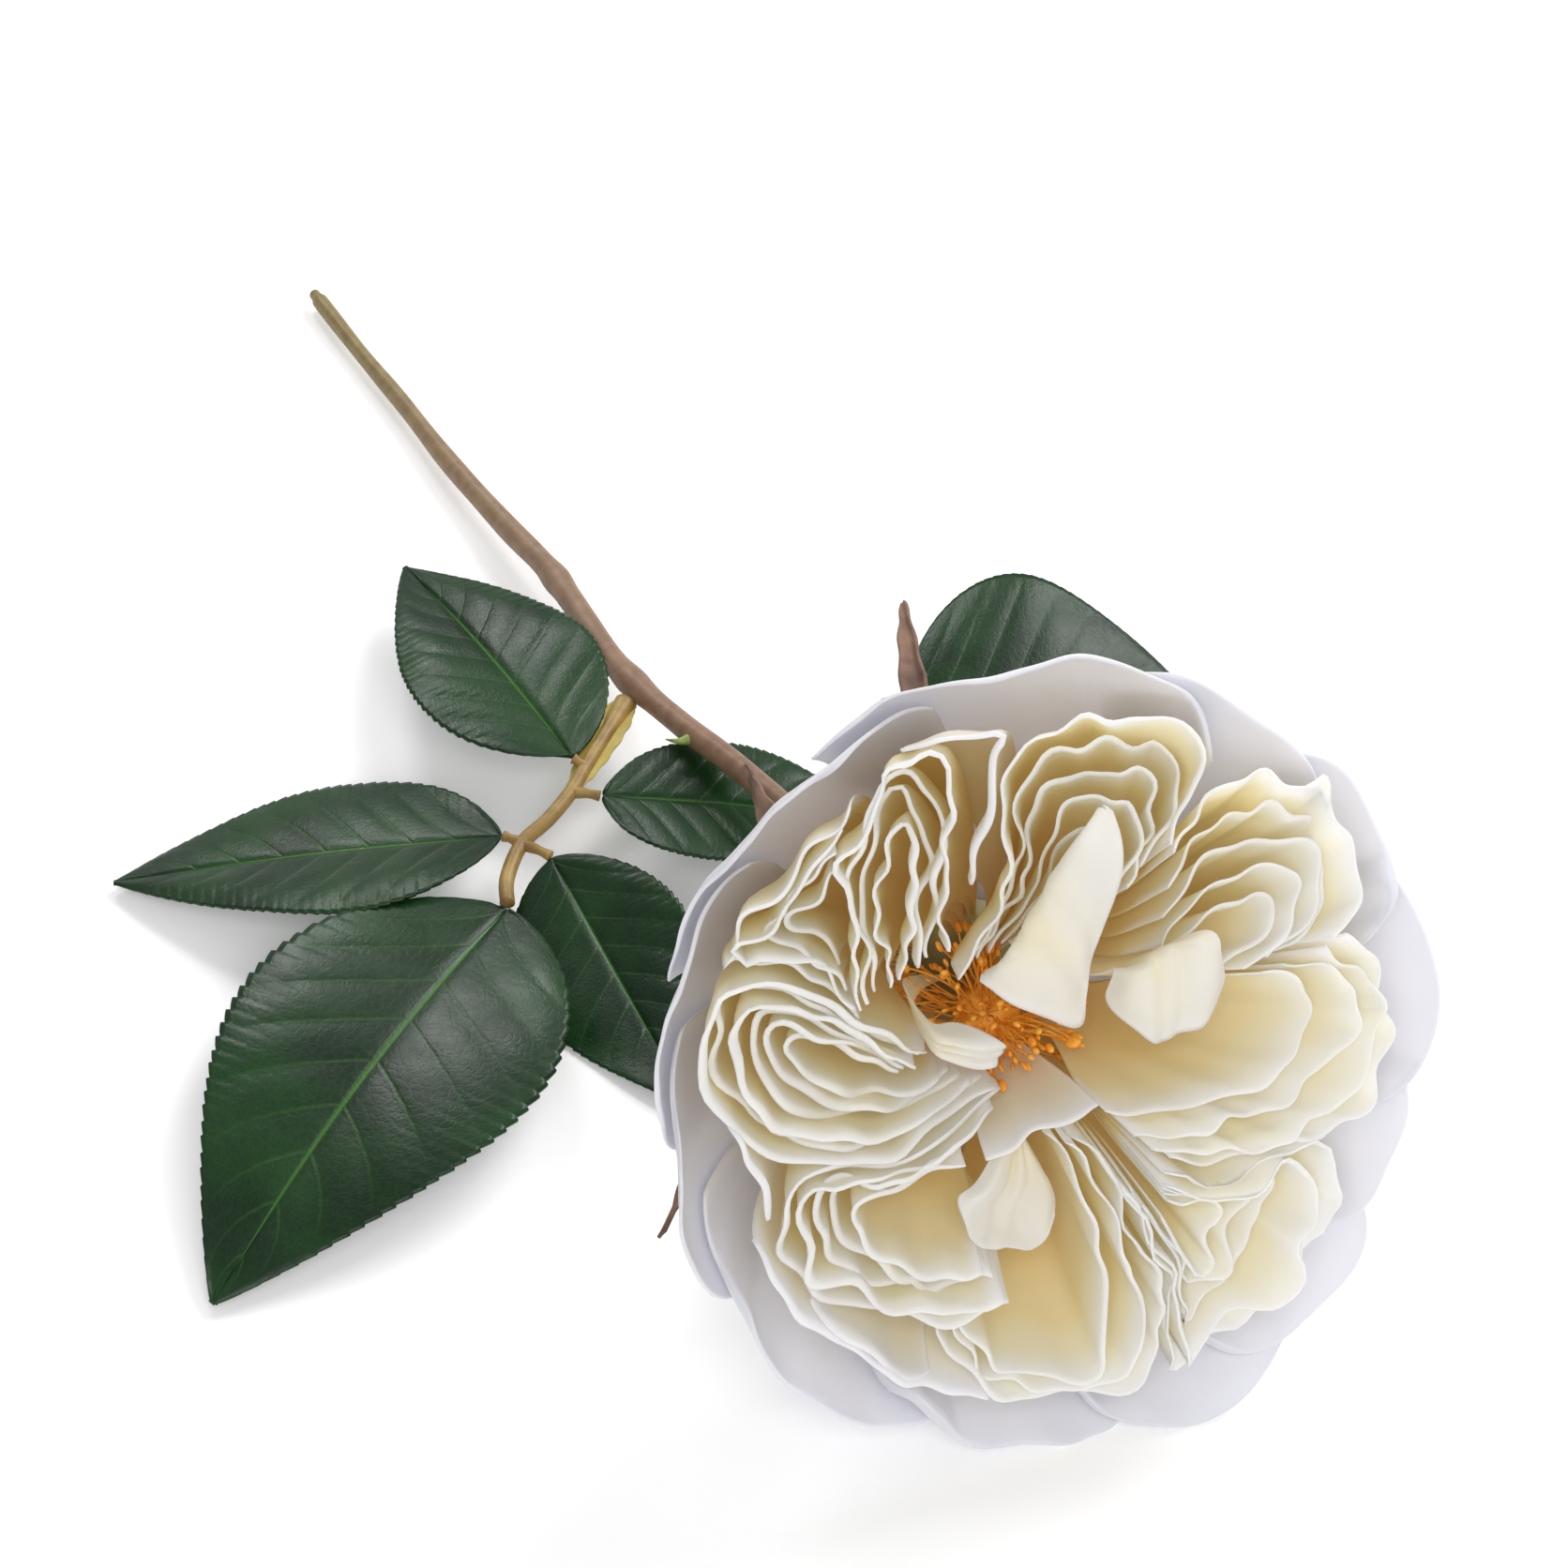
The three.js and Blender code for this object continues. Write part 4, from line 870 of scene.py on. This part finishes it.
# Deeper spots turn darker and more yellow. This is partly the petal's own base colour and partly painted
# shade and glow.
body = ramp(petal_group, depth_tint_and_shade, [
    (0.0, (0.92, 0.91, 0.88)), (0.035, (0.92, 0.90, 0.81)), (0.1, (0.93, 0.88, 0.68)),
    (0.2, (0.93, 0.84, 0.53)), (0.45, (0.91, 0.76, 0.36)), (1.0, (0.83, 0.60, 0.18))])
pale = ramp(petal_group, depth_tint_and_shade, [
    (0.0, (0.86, 0.86, 0.915)), (0.3, (0.86, 0.85, 0.89)), (0.5, (0.88, 0.84, 0.74)),
    (1.0, (0.85, 0.72, 0.45))])
warmed = mixed(petal_group, g_in.outputs["Warm"], pale, body)
edge = times(petal_group, g_in.outputs["Rim"], 0.85)
skin = mixed(petal_group, edge, warmed, (0.95, 0.945, 0.955))
fibre = noise(petal_group, 1, 5, stretched(petal_group, 55, 2.2))
petal_group.links.new(skin, g_out.inputs["Color"])
petal_group.links.new(plus(petal_group, times(petal_group, fibre, 0.7),
                            times(petal_group, patch, 0.5)), g_out.inputs["Height"])


def material(name):
    m = bpy.data.materials.new(name)
    m.use_nodes = True
    tree = m.node_tree
    return m, tree, tree.nodes["Principled BSDF"], tree.nodes["Material Output"]


def use(tree, the_group):
    node = add(tree, "ShaderNodeGroup", (-500, 0))
    node.node_tree = the_group
    return node


def attribute(tree, name):
    node = add(tree, "ShaderNodeAttribute", (-800, 0), attribute_name=name, attribute_type="GEOMETRY")
    return node.outputs["Fac"]


def bump(tree, height, shader, strength, distance):
    node = preset(add(tree, "ShaderNodeBump", (-250, -300)), Strength=strength, Distance=distance)
    tree.links.new(height, node.inputs["Height"])
    tree.links.new(node.outputs["Normal"], shader.inputs["Normal"])


def petal_material(name, through, roughness, scatter):
    m, tree, shader, output = material(name)
    coated = use(tree, petal_group)
    for key in ("Depth_tint_and_shade", "Rim", "Warm"):
        tree.links.new(attribute(tree, key.lower()), coated.inputs[key])
    tree.links.new(coated.outputs["Color"], shader.inputs["Base Color"])
    # The petal gives off a little light in its own colour, at strength scatter. This is a painted glow in
    # place of light bounced between the folds.
    tree.links.new(coated.outputs["Color"], shader.inputs["Emission Color"])
    preset(shader, Emission_Strength=scatter, Roughness=roughness, Specular_IOR_Level=0.25, Sheen_Weight=0.15)
    bump(tree, coated.outputs["Height"], shader, 0.25, 0.0002)
    glow = add(tree, "ShaderNodeBsdfTranslucent", (0, -300))
    tree.links.new(coated.outputs["Color"], glow.inputs["Color"])
    blend = add(tree, "ShaderNodeMixShader", (300, 0))
    blend.inputs[0].default_value = through
    tree.links.new(shader.outputs[0], blend.inputs[1])
    tree.links.new(glow.outputs[0], blend.inputs[2])
    tree.links.new(blend.outputs[0], output.inputs[0])
    return m


# The last number is the strength of the painted glow.
petal_finish = petal_material("petal", 0.5, 0.6, 0.07)
guard_finish = petal_material("guard_petal", 0.35, 0.55, 0.0)

# %% [markdown]
# ## Leaf, bark and stamen finishes
# A rose leaf is dark, glossy and quilted. Its veins are drawn from the UV map: the distance
# to the nearest side vein is a saw-tooth wave of the position along the blade, shifted by
# the position across it, and a thin smooth step of that distance is the vein.

# %% Leaf, bark and stamen finishes
leaf_group, g_in, g_out = group("leaf_skin", {"Veins": float(VEINS)},
                                {"Color": "NodeSocketColor", "Height": "NodeSocketFloat",
                                 "Roughness": "NodeSocketFloat"})
split = add(leaf_group, "ShaderNodeSeparateXYZ")
leaf_group.links.new(add(leaf_group, "ShaderNodeTexCoord").outputs["UV"], split.inputs[0])
from_midrib = calc(leaf_group, "ABSOLUTE", minus(leaf_group, times(leaf_group, split.outputs[1], 2.0), 1.0))
phase = minus(leaf_group, split.outputs[0], times(leaf_group, from_midrib, 0.2))
wave = calc(leaf_group, "PINGPONG", times(leaf_group, phase, g_in.outputs["Veins"]), 0.5)
stripe = minus(leaf_group, 1.0, times(leaf_group, wave, 16.0), clamp=True)
side_vein = times(leaf_group, stripe, minus(leaf_group, 1.0, from_midrib))
midrib = minus(leaf_group, 1.0, times(leaf_group, from_midrib, 30.0), clamp=True)
cells = preset(add(leaf_group, "ShaderNodeTexVoronoi", feature="DISTANCE_TO_EDGE"), Scale=1.0)
leaf_group.links.new(stretched(leaf_group, 55, 34), cells.inputs["Vector"])
net = minus(leaf_group, 1.0, times(leaf_group, cells.outputs["Distance"], 7.0), clamp=True)
vein = calc(leaf_group, "MAXIMUM", times(leaf_group, side_vein, 0.3), midrib)
vein = plus(leaf_group, vein, times(leaf_group, net, 0.07), clamp=True)
tone = ramp(leaf_group, noise(leaf_group, 55, 5),
            [(0.3, (0.003, 0.016, 0.005)), (0.7, (0.009, 0.042, 0.010))])
leaf_group.links.new(mixed(leaf_group, vein, tone, (0.045, 0.14, 0.022)), g_out.inputs["Color"])
leaf_group.links.new(minus(leaf_group, times(leaf_group, noise(leaf_group, 900, 3), 0.25),
                           vein), g_out.inputs["Height"])
leaf_group.links.new(plus(leaf_group, times(leaf_group, noise(leaf_group, 140, 4), 0.3), 0.2),
                     g_out.inputs["Roughness"])
leaf_finish, tree, shader, _ = material("leaf")
coated = use(tree, leaf_group)
tree.links.new(coated.outputs["Color"], shader.inputs["Base Color"])
tree.links.new(coated.outputs["Roughness"], shader.inputs["Roughness"])
shader.inputs["Specular IOR Level"].default_value = 0.3
bump(tree, coated.outputs["Height"], shader, 0.5, 0.0003)

bark_group, g_in, g_out = group("bark_skin", {"Along": 0.0},
                                {"Color": "NodeSocketColor", "Height": "NodeSocketFloat"})
fine = noise(bark_group, 420, 6)
where = plus(bark_group, g_in.outputs["Along"],
              times(bark_group, minus(bark_group, noise(bark_group, 90, 4), 0.5), 0.3))
bark = ramp(bark_group, where, [
    (0.0, (0.22, 0.135, 0.07)), (0.3, (0.25, 0.145, 0.085)), (0.6, (0.27, 0.17, 0.105)),
    (1.0, (0.25, 0.19, 0.07))])
specks = ramp(bark_group, fine, [(0.35, (0.6, 0.55, 0.5)), (0.65, (1, 1, 1))])
speckled = add(bark_group, "ShaderNodeMix", data_type="RGBA", blend_type="MULTIPLY")
speckled.inputs[0].default_value = 0.55
bark_group.links.new(bark, speckled.inputs[6])
bark_group.links.new(specks, speckled.inputs[7])
bark_group.links.new(speckled.outputs[2], g_out.inputs["Color"])
bark_group.links.new(fine, g_out.inputs["Height"])
stem_finish, tree, shader, _ = material("stem")
coated = use(tree, bark_group)
tree.links.new(attribute(tree, "along"), coated.inputs["Along"])
tree.links.new(coated.outputs["Color"], shader.inputs["Base Color"])
shader.inputs["Roughness"].default_value = 0.5
bump(tree, coated.outputs["Height"], shader, 0.4, 0.0002)


def mottled(name, dark, light, scale, roughness, strength=0.35):
    m, tree, shader, _ = material(name)
    grain = noise(tree, scale, 5)
    tree.links.new(ramp(tree, grain, [(0.3, dark), (0.7, light)]), shader.inputs["Base Color"])
    shader.inputs["Roughness"].default_value = roughness
    bump(tree, noise(tree, scale * 4, 4), shader, strength, 0.0002)
    return m


stalk_finish = mottled("leaf_stalk", (0.20, 0.11, 0.025), (0.38, 0.25, 0.06), 160, 0.45)
wing_finish = mottled("stipule", (0.34, 0.25, 0.035), (0.48, 0.38, 0.08), 200, 0.5)
hip_finish = mottled("hip", (0.16, 0.14, 0.03), (0.32, 0.26, 0.08), 120, 0.45)
sepal_finish = mottled("sepal", (0.09, 0.04, 0.022), (0.24, 0.13, 0.08), 150, 0.6)
thorn_finish = mottled("prickle", (0.10, 0.20, 0.03), (0.30, 0.38, 0.10), 300, 0.4)
stamen_finish = mottled("stamen", (0.86, 0.27, 0.012), (1.0, 0.52, 0.07), 500, 0.6)

# %% [markdown]
# ## Planting the eye of the bloom
# The cushion is a low dome across the eye, well below the rims. The tree above plants the
# stamens on it.

# %% Stamens in place
verts, faces = [], []
RINGS, SPOKES = 8, 28
for r in range(1, RINGS + 1):
    for a in range(SPOKES):
        q = r / RINGS
        angle = 2 * np.pi * a / SPOKES
        spur = 1 + 0.5 * bell((angle - 5.6) / 0.35) * q
        verts.append(bloom(-2.3 + 5.2 * q * spur * math.cos(angle), 4.6 * q * spur * math.sin(angle),
                           -28 + 3.6 * (1 - q * q)))
verts += [bloom(-2.3, 0, -24.4), bloom(-2.3, 0, -31)]
for a in range(SPOKES):
    b = (a + 1) % SPOKES
    faces.append((len(verts) - 2, a, b))
    faces.append((len(verts) - 1, (RINGS - 1) * SPOKES + b, (RINGS - 1) * SPOKES + a))
    for r in range(RINGS - 1):
        faces.append((r * SPOKES + a, (r + 1) * SPOKES + a, (r + 1) * SPOKES + b, r * SPOKES + b))
stamens = new_object("stamens", placed(np.array(verts)), faces)
grow(stamens, stamen_tree, {"Count per m2": 1.3e6, "Length": 0.0095, "Filament radius": 0.00016,
                            "Anther radius": 0.00062, "Seed": 4, "Material": stamen_finish})
stamens.data.shade_smooth()
print("stamens:", len(stamens.data.polygons), "faces")

# %% [markdown]
# ## Who is who
# Each finished piece rides on the one body of the part, takes its finish, and stands for
# the solids it replaces, which are hidden.

# %% Finishes and declarations
def declare(obj, finish, slot_name, *nodes):
    obj.data.materials.clear()
    obj.data.materials.append(finish)
    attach(obj, "root")
    if nodes:
        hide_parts(*nodes)


for obj, node, slot_name in petals:
    declare(obj, petal_finish if slot_name == "petal" else guard_finish, slot_name, *([node] if node else []))
for i, obj in enumerate(sepals):
    declare(obj, sepal_finish, "sepal", f"sepal_{i + 1}")
for obj in leaflets:
    declare(obj, leaf_finish, "leaf", obj.name.removesuffix("_look"))
declare(stalks[0], stalk_finish, "leaf_stalk", "leaf_stalk")
for obj in stalks[1:]:
    declare(obj, stalk_finish, "leaf_stalk")
for obj in wings:
    declare(obj, wing_finish, "leaf_stalk")
declare(upper_stalk, stalk_finish, "leaf_stalk", "upper_leaf_stalk")
declare(hip, hip_finish, "hip", "hip")
declare(stem, stem_finish, "stem", "stem")
declare(thorn, thorn_finish, "stem")
declare(stamens, stamen_finish, "stamen", "stamens")

# %% [markdown]
# ## A white table and soft light
# The flower lies on a plain white surface under two broad soft lights, one from the front
# and one from the far right. A small third one gives the leaves their sheen. A bright sky
# all round keeps the shadow below the bloom light.

# %% Floor, light and camera
floor_mesh = bpy.data.meshes.new("floor")
floor_mesh.from_pydata([(-4, -4, 0), (4, -4, 0), (4, 4, 0), (-4, 4, 0)], [], [(0, 1, 2, 3)])
floor = linked("floor", floor_mesh)
floor_finish, tree, shader, _ = material("floor")
preset(shader, Base_Color=(0.93, 0.93, 0.93, 1), Roughness=0.9, Specular_IOR_Level=0.0,
       Emission_Color=(1, 1, 1, 1), Emission_Strength=0.16)
floor_mesh.materials.append(floor_finish)

world = bpy.data.worlds.new("sky")
bpy.context.scene.world = world
world.use_nodes = True
preset(world.node_tree.nodes["Background"], Color=(1, 1, 1, 1), Strength=0.36)


def point(obj, at, target):
    """Stands a lamp or camera at one place of the lay-out and turns it towards another."""
    obj.location = Vector(placed(at))
    obj.rotation_mode = "QUATERNION"
    obj.rotation_quaternion = (Vector(placed(target)) - obj.location).to_track_quat("-Z", "Y")


def lamp(name, at, size, power, target):
    data = bpy.data.lights.new(name, "AREA")
    data.shape = "SQUARE"
    data.size = size
    data.energy = power
    point(linked(name, data), at, target)


lamp("soft_front", (60, -900, 860), 0.9, 9.5, (0, 20, 40))
lamp("soft_key", (470, 560, 700), 0.5, 6.5, (0, 20, 40))
lamp("leaf_sheen", (-260, 760, 620), 0.25, 2.2, (-60, 90, 0))

CAMERA_DISTANCE, AIM_ACROSS, AIM_UP, FACE_HEIGHT = 800, -34.6, 37.9, 53.5
toward = np.array((0, -math.sqrt(0.5), math.sqrt(0.5)))
upwards = np.array((0, math.sqrt(0.5), math.sqrt(0.5)))
aim = np.array((AIM_ACROSS, 0, FACE_HEIGHT)) + AIM_UP * upwards
camera = linked("camera", bpy.data.cameras.new("camera"))
point(camera, aim + CAMERA_DISTANCE * toward, aim)
camera.data.lens, camera.data.sensor_width = 131.6, 36
camera.data.clip_start, camera.data.clip_end = 0.05, 20
bpy.context.scene.camera = camera
bpy.context.scene.view_settings.view_transform = "Standard"
